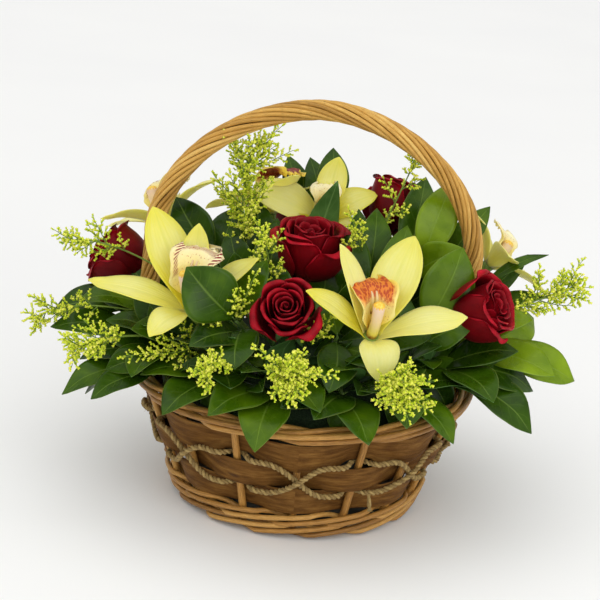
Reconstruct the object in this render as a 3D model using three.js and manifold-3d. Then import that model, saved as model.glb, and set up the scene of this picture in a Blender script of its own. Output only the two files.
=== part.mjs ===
// A flower basket arrangement: a round basket of willow stakes and dark chipwood bands with a
// twisted willow handle, and floral foam inside it that holds roses, cymbidium orchids,
// goldenrod sprays and stems of broad leaves.
// Millimetres, +Z up. The front faces -Y and the handle stands in the plane y = 0.
// The origin is the middle of the basket's flat underside.

import * as THREE from 'three';
import { mergeVertices } from 'three/addons/utils/BufferGeometryUtils.js';
import Module from 'manifold-3d';

const wasm = await Module();
wasm.setup();

// ---- driving dimensions ----------------------------------------------------------------

const gap = 0.5;                 // clearance between neighbouring solids

const stakeCount = 16;
const stakeRadius = 2.6;
const footRadius = 90;           // centre line of the stakes at footHeight
const footHeight = 12;
const rimRadius = 119.5;         // centre line of the stakes at rimHeight
const rimHeight = 93;
const waleTop = 23.6;            // top of the woven foot
const boardRadius = 80.8;
const boardThick = 6;
const borderRadius = 6.4;        // the rolled border on the rim

const ringSteps = 32;            // two to a stake
const borderSteps = 32;
const turnedSteps = 24;          // the board, the liner and the foam
const bandThick = 1.2;
const bandWave = 3.7;            // how far a band swings in and out round the stakes
const middleBand = [44, 65];     // its lower and upper edge
const outerEdges = [24.2, 85.2]; // lower edge of the lower band, upper edge of the upper one
const innerEdge = { hidden: 15.9, between: 14.9, front: 7 };   // their other edges, off ropeMiddle

const ropeRadius = 2.15;
const ropeMiddle = 54.5;         // level where the two ropes cross
const ropeSwing = 13;            // and how far they swing above and below it

const handleHalfWidth = 115.5;
const handleSpring = 190;        // where the arch begins
const handleTop = 290;           // centre line at the top
const handleRadius = 7.4;
const handleCurve = 1.86;        // exponent of the arch
const handleSides = 8;
const handleTwist = 16;          // radians from foot to foot

const linerThick = 1.2;
const linerFoot = 78.5;
const linerTop = 103.5;
const foamTop = 117;
const foamShoulder = [93, 100];  // radius and height where the foam's trimmed dome begins
const heart = new THREE.Vector3(0, 0, 72);   // every stem points at this place in the foam
const stemDepth = 20;            // how deep a stem stands in the foam

const leafThick = 0.8;
const petalThick = 1;
const plantFinest = 0.24;
const askew = new THREE.Vector3(0.31, 0.17, 0.93);   // a direction that no stem runs along

// ---- materials -------------------------------------------------------------------------

function finish(color, roughness) {
  return new THREE.MeshStandardMaterial({ color, roughness, metalness: 0 });
}
const willow = finish(0xc0863f, 0.55);
const paleWillow = finish(0xcf9e58, 0.5);
const chipwood = finish(0x5a3d28, 0.75);
const strawRope = finish(0x97804f, 0.9);
const board = finish(0xb08a5a, 0.7);
const plastic = finish(0x22261f, 0.45);
const foamGreen = finish(0x2f4a2b, 0.95);
const roseRed = finish(0x8e0415, 0.6);
const roseGreen = finish(0x4c7428, 0.6);
const orchidYellow = finish(0xe6d85c, 0.5);
const orchidLip = finish(0xeed9a8, 0.5);
const leafGreen = finish(0x2f6b18, 0.4);
const goldenrod = finish(0xb9c431, 0.7);

// ---- solids ----------------------------------------------------------------------------

// A closed three.js geometry as a solid.
function solidOf(geometry) {
  const bare = new THREE.BufferGeometry();
  bare.setAttribute('position', geometry.getAttribute('position'));
  bare.setIndex(geometry.index);
  const merged = mergeVertices(bare, 1e-4);
  const corners = merged.index.array;
  const triVerts = [];
  for (let i = 0; i < corners.length; i += 3) {
    const [a, b, c] = corners.slice(i, i + 3);
    if (a !== b && b !== c && c !== a) triVerts.push(a, b, c);
  }
  const mesh = new wasm.Mesh({
    numProp: 3,
    vertProperties: new Float32Array(merged.attributes.position.array),
    triVerts: new Uint32Array(triVerts),
  });
  return new wasm.Manifold(mesh);
}

function joined(solids) {
  return solids.reduce((whole, next) => whole.add(next));
}

// The largest body of a solid, without the loose scraps that a cut leaves.
function largestBody(solid) {
  const bodies = solid.decompose();
  return bodies.reduce((best, next) => (next.volume() > best.volume() ? next : best));
}

const group = new THREE.Group();

// Points closer together than finest are merged, so that cuts leave no slivers.
function addNode(name, solid, material, finest = 0.02) {
  const body = largestBody(largestBody(solid).simplify(finest));
  const { vertProperties, triVerts } = body.getMesh();
  const geometry = new THREE.BufferGeometry();
  geometry.setAttribute('position', new THREE.BufferAttribute(vertProperties, 3));
  geometry.setIndex(new THREE.BufferAttribute(triVerts, 1));
  const mesh = new THREE.Mesh(geometry, material);
  mesh.name = name;
  group.add(mesh);
}

// Moves every vertex of a geometry with a rule.
function reshape(geometry, rule) {
  const position = geometry.getAttribute('position');
  const point = new THREE.Vector3();
  for (let i = 0; i < position.count; i += 1) {
    point.fromBufferAttribute(position, i);
    const moved = rule(point, i);
    position.setXYZ(i, moved.x, moved.y, moved.z);
  }
  return geometry;
}

// A closed ring: sectionAt(angle, corner) gives [radius, height] for each corner of its section.
function ringSolid(corners, steps, sectionAt) {
  const torus = new THREE.TorusGeometry(10, 1, corners, steps);
  return solidOf(reshape(torus, (p) => {
    const angle = Math.atan2(p.y, p.x);
    const turn = Math.atan2(p.z, Math.hypot(p.x, p.y) - 10);
    const corner = ((Math.round((turn / (2 * Math.PI)) * corners) % corners) + corners) % corners;
    const [radius, height] = sectionAt(angle + Math.PI / 2, corner);
    return new THREE.Vector3(radius * Math.cos(angle), radius * Math.sin(angle), height);
  }));
}

// A tube along pointAt(s), s from 0 to 1, with its own radius and twist at each s.
// side is a direction that the path never runs along.
function tubeSolid(pointAt, radiusAt, sides, steps, side, twistAt = () => 0) {
  const rod = new THREE.CylinderGeometry(1, 1, 1, sides, steps);
  return solidOf(reshape(rod, (p) => {
    const s = Math.min(1, Math.max(0, 0.5 - p.y));
    const reach = Math.hypot(p.x, p.z) < 0.5 ? 0 : 1;
    const turn = Math.atan2(p.x, p.z);
    const along = pointAt(Math.min(1, s + 0.001)).sub(pointAt(Math.max(0, s - 0.001))).normalize();
    const across = new THREE.Vector3().crossVectors(side, along).normalize();
    const upward = new THREE.Vector3().crossVectors(along, across);
    const radius = reach * radiusAt(s, turn);
    return pointAt(s)
      .addScaledVector(across, -radius * Math.sin(turn + twistAt(s)))
      .addScaledVector(upward, -radius * Math.cos(turn + twistAt(s)));
  }));
}

// A round body about Z from [radius, height] points that start and end on the axis.
function turnedSolid(profile, steps) {
  const outline = profile.map(([radius, height]) => new THREE.Vector2(radius, height));
  const body = new THREE.LatheGeometry(outline, steps);
  body.rotateX(Math.PI / 2);
  return solidOf(body);
}

// A thin blade. rows are [along, halfWidth]; placeAt(along, across, width, past) gives its middle
// surface. A ribbed blade has points down its middle too. Both faces are split alike.
function bladeSolid(rows, placeAt, thick, grow = 0, ribbed = true) {
  const acrosses = ribbed ? [1, 0, -1] : [1, -1];
  const n = acrosses.length;
  const points = [placeAt(0, 0, 0, -grow)];
  rows.forEach(([along, halfWidth]) => {
    acrosses.forEach((across) => points.push(placeAt(along, across, halfWidth + grow, 0)));
  });
  points.push(placeAt(1, 0, 0, grow));
  const last = points.length - 1;
  const faces = [];
  for (let k = 0; k < n - 1; k += 1) {
    faces.push([0, 1 + k, 2 + k], [last - n + k, last, last - n + k + 1]);
    for (let row = 0; row < rows.length - 1; row += 1) {
      const a = 1 + row * n + k;
      if (k === 0) faces.push([a, a + n, a + 1], [a + 1, a + n, a + n + 1]);
      else faces.push([a, a + n, a + n + 1], [a, a + n + 1, a + 1]);
    }
  }
  const rim = [0];
  for (let row = 0; row < rows.length; row += 1) rim.push(1 + row * n);
  rim.push(last);
  for (let row = rows.length - 1; row >= 0; row -= 1) rim.push(n + row * n);

  const middle = new THREE.BufferGeometry().setFromPoints(points);
  middle.setIndex(faces.flat());
  middle.computeVertexNormals();
  const normals = middle.getAttribute('normal');
  const face = (lift) => points.map((point, i) => (
    new THREE.Vector3().fromBufferAttribute(normals, i).multiplyScalar(lift).add(point)
  ));
  const lift = thick / 2 + grow;
  const below = points.length;
  const triangles = [];
  faces.forEach(([a, b, c]) => triangles.push(a, b, c, a + below, c + below, b + below));
  rim.forEach((a, i) => {
    const b = rim[(i + 1) % rim.length];
    triangles.push(a, a + below, b, b, a + below, b + below);
  });
  const blade = new THREE.BufferGeometry().setFromPoints([...face(lift), ...face(-lift)]);
  blade.setIndex(triangles);
  return solidOf(blade);
}

// ---- the basket ------------------------------------------------------------------------

const turnOf = (degrees) => (degrees * Math.PI) / 180;

// Angles round the basket start at the front (-Y) and grow towards +X.
function around(angle, radius, height) {
  return new THREE.Vector3(radius * Math.sin(angle), -radius * Math.cos(angle), height);
}

function wallRadius(height) {
  return footRadius + ((rimRadius - footRadius) * (height - footHeight)) / (rimHeight - footHeight);
}

const stakeWave = (angle) => Math.cos((stakeCount / 2) * angle);   // +1 and -1 at alternate stakes

// Three willow rods woven round the feet of the stakes, one above the other.
function woveFoot() {
  const section = [
    [5.8, 12.4], [4, 16.2], [5.4, 20.4], [-4.6, waleTop], [-4.6, 0.5], [5.4, 3.4], [4, 8.2],
  ];
  return ringSolid(section.length, ringSteps, (angle, corner) => {
    const [out, height] = section[corner];
    const relief = out > 5 ? 0.9 * Math.sin((stakeCount / 2) * angle + corner * 2) : 0;
    return [wallRadius(height) + out + relief, height];
  });
}

// The rolled border: three rods that wind round each other along the rim.
function rolledBorder() {
  const lobes = 3;
  const windings = 5;
  return ringSolid(6, borderSteps, (angle, corner) => {
    const turn = (corner / 6) * 2 * Math.PI + windings * angle;
    const radius = borderRadius + (corner % (6 / lobes) === 0 ? 1 : -0.5);
    return [rimRadius + 1 + radius * Math.cos(turn), rimHeight + radius * Math.sin(turn)];
  });
}

function stake(index) {
  const angle = (index * 2 * Math.PI) / stakeCount;
  const from = around(angle, wallRadius(footHeight), footHeight);
  const to = around(angle, rimRadius, rimHeight);
  const path = (s) => from.clone().lerp(to, s);
  return tubeSolid(path, () => stakeRadius, 4, 1, around(angle + Math.PI / 2, 1, 0));
}

// edgesAt(wave) gives a band's lower and upper edge where stakeWave is wave.
function chipBand(edgesAt, swing) {
  const section = [[1, 1], [-1, 1], [-1, 0], [1, 0]];
  return ringSolid(4, ringSteps, (angle, corner) => {
    const wave = stakeWave(angle);
    const [face, edge] = section[corner];
    const height = edgesAt(wave)[edge];
    return [wallRadius(height) + swing * bandWave * wave + (face * bandThick) / 2, height];
  });
}

// The lower and upper bands are widest in front of a stake, and leave the ropes room behind one.
function innerOff(wave) {
  if (wave > 0.5) return innerEdge.front;
  return wave < -0.5 ? innerEdge.hidden : innerEdge.between;
}
const lowerEdges = (wave) => [outerEdges[0], ropeMiddle - innerOff(wave)];
const upperEdges = (wave) => [ropeMiddle + innerOff(wave), outerEdges[1]];

// One of the two ropes. It runs behind the stakes that the middle band covers, then crosses the
// other rope in front of the next stake; the two take turns to lie on top.
function rope(hand) {
  const sides = 4;
  const past = [-5.2, -2.4, 5.1, 5.1, 5.1];     // radius past the wall, hidden stake to crossing
  return ringSolid(sides, stakeCount * 4, (angle, corner) => {
    const eighth = angle / (Math.PI / 4);
    const crossing = Math.round(eighth);
    const toward = 1 - Math.abs(eighth - crossing) * 2;   // 0 at a hidden stake, 1 at a crossing
    const out = past[Math.round(toward * 4)];
    const onTop = (((crossing % 2) + 2) % 2 === 0) === (hand > 0);
    const lifted = onTop ? 4.6 * THREE.MathUtils.smoothstep(toward, 0.6, 1) : 0;
    const side = Math.sign(Math.sin(4 * angle)) || 1;
    const fall = Math.cos(Math.PI * Math.max(0, toward - 0.5));
    const height = ropeMiddle + hand * side * ropeSwing * fall;
    const turn = (corner / sides) * 2 * Math.PI;
    const radius = wallRadius(height) + out + lifted + ropeRadius * Math.cos(turn);
    return [radius, height + ropeRadius * Math.sin(turn)];
  });
}

// ---- the handle ------------------------------------------------------------------------

// Its centre line: legs that lean in from the rim, and an arch.
function handlePath(s) {
  const legShare = 0.22;
  const legFoot = rimRadius + 0.5;
  const side = s < 0.5 ? -1 : 1;
  const fromFoot = (s < 0.5 ? s : 1 - s) / legShare;
  if (fromFoot <= 1) {
    const lean = THREE.MathUtils.smoothstep(fromFoot, 0, 1);
    const x = THREE.MathUtils.lerp(legFoot, handleHalfWidth, lean);
    const z = THREE.MathUtils.lerp(rimHeight - 7, handleSpring, fromFoot);
    return new THREE.Vector3(side * x, 0, z);
  }
  const turn = ((s - 0.5) / (0.5 - legShare)) * (Math.PI / 2);
  const x = Math.sign(turn) * Math.abs(Math.sin(turn)) ** (2 / handleCurve) * handleHalfWidth;
  const z = handleSpring + Math.abs(Math.cos(turn)) ** (2 / handleCurve) * (handleTop - handleSpring);
  return new THREE.Vector3(x, 0, z);
}

// A bundle of rods twisted round a bow, splayed at its feet where it straddles the border.
function handleSolid(grow) {
  const radius = (s, turn) => {
    const lobe = Math.round((turn / (2 * Math.PI)) * handleSides) % 2 === 0 ? 0.7 : -0.6;
    const splay = 3.6 * (1 - THREE.MathUtils.smoothstep(Math.min(s, 1 - s), 0, 0.05));
    return handleRadius + lobe + splay + grow;
  };
  const level = new THREE.Vector3(0, 1, 0);
  return tubeSolid(handlePath, radius, handleSides, 32, level, (s) => s * handleTwist);
}

// A smooth tube round the border that the handle's feet are cut by.
function borderClearance() {
  return ringSolid(8, borderSteps, (angle, corner) => {
    const turn = (corner / 8) * 2 * Math.PI;
    const radius = (borderRadius + 2.3 + gap) / Math.cos(Math.PI / 8);
    return [rimRadius + 1 + radius * Math.cos(turn), rimHeight + radius * Math.sin(turn)];
  });
}

// ---- liner and foam --------------------------------------------------------------------

const linerFloor = boardThick + gap;
const linerEdge = 91;

function linerSolid() {
  return turnedSolid([
    [0, linerFloor], [linerFoot, linerFloor], [linerTop, linerEdge],
    [linerTop - linerThick, linerEdge], [linerFoot - linerThick, linerFloor + linerThick],
    [0, linerFloor + linerThick],
  ], turnedSteps);
}

// Level with the liner's edge the foam is cut back, and above it is trimmed to a low dome.
function foamSolid() {
  const low = linerFloor + linerThick + gap;
  return turnedSolid([
    [0, low], [linerFoot - linerThick - 1.4, low], [linerTop - linerThick - 3.4, linerEdge - 4],
    foamShoulder, [68, 113], [0, foamTop],
  ], turnedSteps);
}

// ---- blooms and foliage ----------------------------------------------------------------

// A direction from the heart: azimuth 0 is the front, 90 is +X; elevation from level.
function direction(azimuth, elevation) {
  const level = Math.cos(turnOf(elevation));
  return new THREE.Vector3(
    level * Math.sin(turnOf(azimuth)),
    -level * Math.cos(turnOf(azimuth)),
    Math.sin(turnOf(elevation)),
  );
}

// A frame at a place, with its Z along facing and its Y as near to world up as it can be, then
// rolled about Z.
function frameAt(place, facing, roll) {
  const up = new THREE.Vector3(0, 0, 1);
  const across = new THREE.Vector3().crossVectors(up, facing).normalize();
  const upward = new THREE.Vector3().crossVectors(facing, across);
  const frame = new THREE.Matrix4().makeBasis(across, upward, facing);
  frame.multiply(new THREE.Matrix4().makeRotationZ(turnOf(roll)));
  return frame.setPosition(place);
}

// Where a ray from the heart leaves the foam, near enough for the depth of a stem.
function foamReach(toward) {
  const level = Math.hypot(toward.x, toward.y);
  const throughTop = toward.z / Math.max(level, 1e-6) > 0.62;
  return throughTop ? (foamTop - 2 - heart.z) / toward.z : foamShoulder[0] / level;
}

// A stem from inside the foam to a place, bent so that it arrives along arrive.
function stemPath(place, arrive, leaveToward) {
  const start = heart.clone().addScaledVector(leaveToward, foamReach(leaveToward) - stemDepth);
  const reach = place.distanceTo(start);
  const knee = heart.clone().addScaledVector(leaveToward, foamReach(leaveToward) + 6);
  const before = place.clone().addScaledVector(arrive, -reach * 0.3);
  const curve = new THREE.CubicBezierCurve3(start, knee, before, place);
  return (s) => curve.getPoint(s);
}

function stemSolid(path, radius, grow, steps = 3) {
  return tubeSolid(path, (s) => radius * (1 - 0.2 * s) + grow, 4, steps, askew);
}

// Each plant is a list of makers; a maker gives one piece, grown on all sides by grow.

// A body about a bloom's own axis, from [radius, height] points that start and end on the axis.
// shapeAt(point, segment, radius, height) may move each vertex.
function bloomBody(placed, profile, segments, grow, shapeAt = (point, segment, r, z) => [r, z]) {
  const heights = profile.map((point) => point[1]);
  const half = (Math.max(...heights) + Math.min(...heights)) / 2;
  const outline = profile.map(([r, z]) => (
    new THREE.Vector2(r > 0 ? r + grow * 1.5 : 0, z + Math.sign(z - half) * grow * 1.5)
  ));
  const body = new THREE.LatheGeometry(outline, segments);
  return solidOf(reshape(body, (p, i) => {
    const segment = Math.floor(i / profile.length) % segments;
    const point = i % profile.length;
    const turn = (segment / segments) * 2 * Math.PI;
    const [radius, height] = shapeAt(point, segment, outline[point].x, outline[point].y);
    return placed(radius * Math.sin(turn), -radius * Math.cos(turn), height);
  }));
}

// A rose: three rings of five petals round a rolled heart. Each petal's leading edge stands out
// over the one before it, and the lips dip where two petals meet.
const roseProfile = [
  [0, -24], [15, -19.5], [24, -2], [27.5, 11], [20.5, 4], [20.5, 17.5], [14, 10],
  [12, 20], [6.5, 12.5], [4, 18.5], [0, 14],
];
const roseLips = { 2: 0, 3: 0, 5: 1, 7: 2 };       // which of the points are lips, and of which ring
const petalEdge = [[1.9, -1.6], [0.8, 1.3], [-1.7, -0.4]];

function roseMakers(placed) {
  const shape = (point, segment, r, z) => {
    if (!(point in roseLips)) return [r, z];
    const [out, rise] = petalEdge[(segment + roseLips[point]) % 3];
    const share = point === 2 ? 0.6 : 1;
    return [r + out * share, z + rise * share];
  };
  return [(grow) => bloomBody(placed, roseProfile, 15, grow, shape)];
}

// The green cup under a rose with five sepals that fold down from it, and the stem. A leaf may
// grow from the stem and stand behind the bloom, with its underside to the front.
function roseGreenMakers(placed, stem, leafTip) {
  const profile = [[0, -37], [6, -32], [10, -25.6], [0, -24.6]];
  const shape = (point, segment, r, z) => {
    const isSepal = point === 2 && segment % 2 === 0;
    return isSepal ? [r + 8, z - 9] : [r, z];
  };
  const makers = [
    (grow) => stemSolid(stem, 2.3, grow),
    (grow) => bloomBody(placed, profile, 10, grow, shape),
  ];
  if (leafTip) {
    const backward = new THREE.Vector3(0, 1, 0.2);
    makers.push(leafMaker(stem(0.72), new THREE.Vector3(...leafTip), 13, backward, 0, 0.16));
  }
  return makers;
}

// An orchid's tepal: it rises from the base in a cup and turns outwards at the tip.
// open is its lean from the flower's axis at the base and curl is how much more it leans by the tip.
function tepalMaker(placed, [angle, length, halfWidth, open, curl]) {
  const turn = turnOf(angle);
  const blade = (along, across, width, past = 0) => {
    const lean = turnOf(open + curl * Math.max(0, along - 0.15) ** 1.5);
    const reach = length * along + past;
    const cup = across * across * width * 0.32;
    const out = 3 + reach * Math.sin(lean) - cup * Math.cos(lean) * 0.8;
    const rise = reach * Math.cos(lean) + cup * Math.sin(lean);
    const sideways = across * width;
    return placed(
      out * Math.cos(turn) - sideways * Math.sin(turn),
      out * Math.sin(turn) + sideways * Math.cos(turn),
      rise,
    );
  };
  const rows = [[0.2, halfWidth * 0.55], [0.52, halfWidth], [0.82, halfWidth * 0.68]];
  return (grow) => bladeSolid(rows, blade, petalThick * 1.1, grow);
}

// The stem ends in a small cup that the tepals grow from.
function orchidMakers(placed, tepals, stem) {
  const flare = (s) => 1.9 + 4 * Math.max(0, 3 * s - 2);
  return [
    (grow) => tubeSolid(stem, (s) => flare(s) + grow, 4, 3, askew),
    ...tepals.map((tepal) => tepalMaker(placed, tepal)),
  ];
}

// The lip: a trough whose two side lobes stand up, a frilled front lobe that folds down, and the
// column that arches over it. towards is the angle that the lip leans to.
function lipMakers(placed, towards) {
  const turn = turnOf(towards);
  const turned = (out, sideways, rise) => placed(
    out * Math.cos(turn) - sideways * Math.sin(turn),
    out * Math.sin(turn) + sideways * Math.cos(turn),
    rise,
  );
  const blade = (along, across, width, past = 0) => {
    const fold = Math.max(0, along - 0.58) / 0.42;
    const out = 3 + 13 * along + 14 * fold + past * (fold > 0 ? 1 : 0);
    const rise = 5 + 42 * along - 20 * fold * fold + past * (fold > 0 ? 0 : 1);
    const wall = across * across * width * 0.9 * (1 - fold);
    return turned(out - wall, across * width, rise + 3 * across * across * fold);
  };
  const column = (s) => turned(-1 - 3 * s + 5 * s * s, 0, 3.6 + 25 * s);
  return [
    (grow) => tubeSolid(column, (s) => 3.6 - 2.4 * s + 2.6 * s * s + grow, 5, 2, askew),
    (grow) => bladeSolid([[0.12, 4], [0.45, 9], [0.62, 13], [0.85, 12]], blade, petalThick * 1.2, grow),
  ];
}

// A leaf from its base to its tip, folded a little along its midrib and arched.
function leafMaker(base, tip, halfWidth, up, tilt, arch = 0.1) {
  const along = tip.clone().sub(base);
  const length = along.length();
  along.normalize();
  const across = new THREE.Vector3().crossVectors(along, up).normalize();
  across.applyAxisAngle(along, turnOf(tilt));
  const normal = new THREE.Vector3().crossVectors(across, along);
  const blade = (s, side, width, past = 0) => {
    const bow = 4 * arch * length * s * (1 - s);
    return base.clone()
      .addScaledVector(along, length * s + past)
      .addScaledVector(across, side * width * 0.97)
      .addScaledVector(normal, bow);
  };
  const rows = [[0.26, halfWidth * 0.86], [0.62, halfWidth * 0.92]];
  return (grow) => bladeSolid(rows, blade, leafThick, grow, false);
}

// Where a spray's leaves point, in steps from its end leaf: to the side, and upwards. Each lies
// above the one before, so that the blades pass one another.
const leafPlaces = [[0, 0], [-1, 0.5], [1, 0.95], [-0.5, 1.5], [0.6, 2]];

// A leafy stem that leans out over the rim: one leaf at its end, and side leaves down the stem.
// tilt turns all its leaves about their own length.
function leafySpray({ azimuth, elevation, reach, leaves, spread, length, width, hand = 1, tilt = 0 }) {
  const rise = Math.max(elevation, 26);
  const aim = direction(azimuth, elevation);
  const level = new THREE.Vector3().crossVectors(new THREE.Vector3(0, 0, 1), aim).normalize();
  const upward = new THREE.Vector3().crossVectors(aim, level);
  const shoulderAim = direction(azimuth, elevation * 0.25 + rise * 0.75);
  const shoulder = heart.clone().addScaledVector(shoulderAim, reach - length * 0.97);
  const tip = heart.clone().addScaledVector(aim, reach);
  const arrive = tip.clone().sub(shoulder).normalize();
  const path = stemPath(shoulder, arrive, direction(azimuth, rise));
  const makers = [(grow) => stemSolid(path, 1.6, grow)];
  for (let i = 0; i < leaves; i += 1) {
    const [sideSteps, upSteps] = leafPlaces[i];
    const leafAim = aim.clone()
      .addScaledVector(level, Math.tan(turnOf(sideSteps * spread * hand)))
      .addScaledVector(upward, Math.tan(turnOf(upSteps * 13)))
      .normalize();
    const base = path(1 - 0.13 * i).addScaledVector(arrive, -1);
    const toTip = heart.clone().addScaledVector(leafAim, reach - 6 * i).sub(base);
    const leafLength = Math.min(toTip.length(), length * (1 - 0.04 * i));
    const leafTip = base.clone().addScaledVector(toTip.normalize(), leafLength);
    const up = upward.clone().add(new THREE.Vector3(0, 0, 0.6));
    makers.push(leafMaker(base, leafTip, width / 2, up, sideSteps * 12 * hand + tilt));
  }
  return makers;
}

// A leafy stem among the blooms: a crown at place with a leaf to each of its tips, which are
// [x, y, z, width]. The leaves turn their faces towards faces.
function leafRosette({ place, faces, tips }) {
  const crown = new THREE.Vector3(...place);
  const arrive = crown.clone().sub(heart).normalize();
  const path = stemPath(crown, arrive, arrive);
  const leaves = tips.map(([x, y, z, width], i) => (
    leafMaker(path(1 - 0.08 * i), new THREE.Vector3(x, y, z), width / 2, direction(...faces), 0)
  ));
  return [(grow) => stemSolid(path, 1.6, grow, 2), ...leaves];
}

// A goldenrod spray: an arching stem with side twigs that swell with buds towards their ends.
// rise is the elevation at which the stem leaves the foam.
function goldenrodSpray({ azimuth, elevation, reach, length, twigs, twigLength, rise }) {
  const tip = heart.clone().addScaledVector(direction(azimuth, elevation), reach);
  const leave = direction(azimuth, rise ?? Math.max(elevation, 31));
  const nearTip = heart.clone().addScaledVector(leave, reach * 0.8);
  const arrive = tip.clone().sub(nearTip).normalize();
  const path = stemPath(tip, arrive, leave);
  const makers = [(grow) => stemSolid(path, 1.3, grow, 4)];
  const share = length / reach;
  for (let i = 0; i < twigs; i += 1) {
    const s = 1 - (share * (i + 0.15)) / twigs;
    const base = path(s);
    const along = path(Math.min(1, s + 0.02)).sub(path(s - 0.02)).normalize();
    const sideways = new THREE.Vector3().crossVectors(along, new THREE.Vector3(0, 0, 1)).normalize();
    const swing = sideways.applyAxisAngle(along, i * 2.4 + azimuth);
    const twig = along.clone().multiplyScalar(0.75).addScaledVector(swing, 0.85).normalize();
    const long = twigLength * (0.55 + 0.45 * Math.sin((Math.PI * (i + 0.8)) / (twigs + 0.6)));
    const twigPath = (t) => base.clone().addScaledVector(twig, long * t);
    makers.push((grow) => tubeSolid(twigPath, (t) => 1.1 + 1.4 * t + grow, 3, 1, askew));
  }
  return makers;
}

// ---- the layout ------------------------------------------------------------------------
// place is the middle of a bloom; faces is its [azimuth, elevation]; roll turns it about its axis.

const roses = [
  { name: 'front', place: [-16, -98, 172], faces: [-6, 38], roll: 10, size: 0.85 },
  {
    name: 'top', place: [-3, -18, 190], faces: [0, 82], roll: 0, size: 1.06, leafTip: [6, 15, 237],
  },
  { name: 'back_right', place: [58, 54, 208], faces: [140, 62], roll: 30, size: 1 },
  { name: 'right', place: [117, -46, 166], faces: [64, 32], roll: 50, size: 1.02 },
  { name: 'left', place: [-142, 36, 155], faces: [-100, 24], roll: 0, size: 0.98 },
  { name: 'back', place: [-14, 108, 168], faces: [184, 36], roll: 0, size: 1 },
];

// Tepals: [angle, length, half width, open, curl] about the flower's axis.
const openTepals = [
  [90, 54, 12, 52, 22], [158, 52, 11.5, 56, 24], [22, 52, 11.5, 56, 24],
  [228, 50, 13, 54, 26], [312, 50, 13, 54, 26],
];
const orchids = [
  {
    name: 'front_right', place: [41, -101, 160], faces: [20, 66], roll: 0, lip: 92,
    tepals: [
      [52, 74, 16, 42, 14], [124, 66, 10, 30, 10], [160, 57, 11, 48, 12], [268, 30, 14, 62, 66],
      [352, 64, 12, 60, 16],
    ],
  },
  {
    name: 'front_left', place: [-80, -76, 160], faces: [-34, 66], roll: 0, lip: 80,
    tepals: [
      [147, 76, 15, 42, 8], [197, 74, 12, 64, 16], [262, 38, 12, 60, 30], [48, 56, 12, 54, 12],
      [108, 58, 11, 30, 10],
    ],
  },
  {
    name: 'top_back', place: [6, 36, 199], faces: [0, 58], roll: 0, lip: 90, lipSize: 0.68,
    tepals: [
      [172, 55, 18, 60, 12], [80, 46, 11, 42, 12], [24, 42, 13, 54, 24], [226, 36, 12, 62, 20],
      [314, 36, 12, 62, 20],
    ],
  },
  {
    name: 'left_back', place: [-112, 60, 179], faces: [-118, 58], roll: 250, lip: 270,
    tepals: openTepals,
  },
  { name: 'back_left', place: [-34, 60, 192], faces: [-150, 64], roll: 0, lip: 110, tepals: openTepals },
  { name: 'right_back', place: [132, 42, 172], faces: [104, 48], roll: 0, lip: 20, tepals: openTepals },
];

const goldenrods = [
  {
    name: 'upper_left', azimuth: -100, elevation: 76,
    reach: 192, length: 96, twigs: 11, twigLength: 31, rise: 58,
  },
  {
    name: 'left', azimuth: -84, elevation: 33,
    reach: 208, length: 52, twigs: 5, twigLength: 20, rise: 48,
  },
  {
    name: 'far_left', azimuth: -82, elevation: 16,
    reach: 205, length: 60, twigs: 6, twigLength: 15, rise: 40,
  },
  { name: 'low_left', azimuth: -61, elevation: 18, reach: 190, length: 66, twigs: 7, twigLength: 18 },
  {
    name: 'front_left', azimuth: -26, elevation: 24,
    reach: 164, length: 36, twigs: 4, twigLength: 15, rise: 40,
  },
  { name: 'front', azimuth: -4, elevation: 26, reach: 168, length: 52, twigs: 8, twigLength: 26 },
  { name: 'front_right', azimuth: 24, elevation: 23, reach: 174, length: 56, twigs: 8, twigLength: 24 },
  {
    name: 'centre_left', azimuth: -32, elevation: 64,
    reach: 158, length: 56, twigs: 5, twigLength: 13,
  },
  {
    name: 'upper_right', azimuth: 104, elevation: 69,
    reach: 194, length: 70, twigs: 6, twigLength: 18,
  },
  { name: 'right', azimuth: 84, elevation: 30, reach: 218, length: 80, twigs: 9, twigLength: 22 },
  { name: 'back', azimuth: 150, elevation: 36, reach: 186, length: 60, twigs: 7, twigLength: 22 },
];

const sprays = [
  {
    name: 'left_low', azimuth: -68, elevation: 4,
    reach: 178, leaves: 5, spread: 17, length: 62, width: 34,
  },
  {
    name: 'front_left', azimuth: -38, elevation: 11,
    reach: 160, leaves: 5, spread: 16, length: 60, width: 34,
  },
  {
    name: 'front', azimuth: -11, elevation: 8,
    reach: 163, leaves: 5, spread: 15, length: 64, width: 36,
  },
  {
    name: 'front_right', azimuth: 17, elevation: 11.5,
    reach: 160, leaves: 5, spread: 14, length: 60, width: 33,
  },
  {
    name: 'right_front', azimuth: 42, elevation: 8,
    reach: 164, leaves: 5, spread: 14, length: 60, width: 32,
  },
  {
    name: 'right_low', azimuth: 64, elevation: 5,
    reach: 192, leaves: 4, spread: 13, length: 68, width: 37, hand: -1, tilt: 15,
  },
  {
    name: 'right', azimuth: 86, elevation: 9.5,
    reach: 211, leaves: 4, spread: 14, length: 70, width: 36, tilt: 35,
  },
  {
    name: 'left', azimuth: -98, elevation: 12,
    reach: 204, leaves: 4, spread: 15, length: 68, width: 34, tilt: -30,
  },
  {
    name: 'back_right', azimuth: 132, elevation: 10,
    reach: 184, leaves: 5, spread: 28, length: 66, width: 34,
  },
  {
    name: 'back_left', azimuth: -140, elevation: 12,
    reach: 184, leaves: 5, spread: 28, length: 66, width: 34,
  },
];

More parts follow.
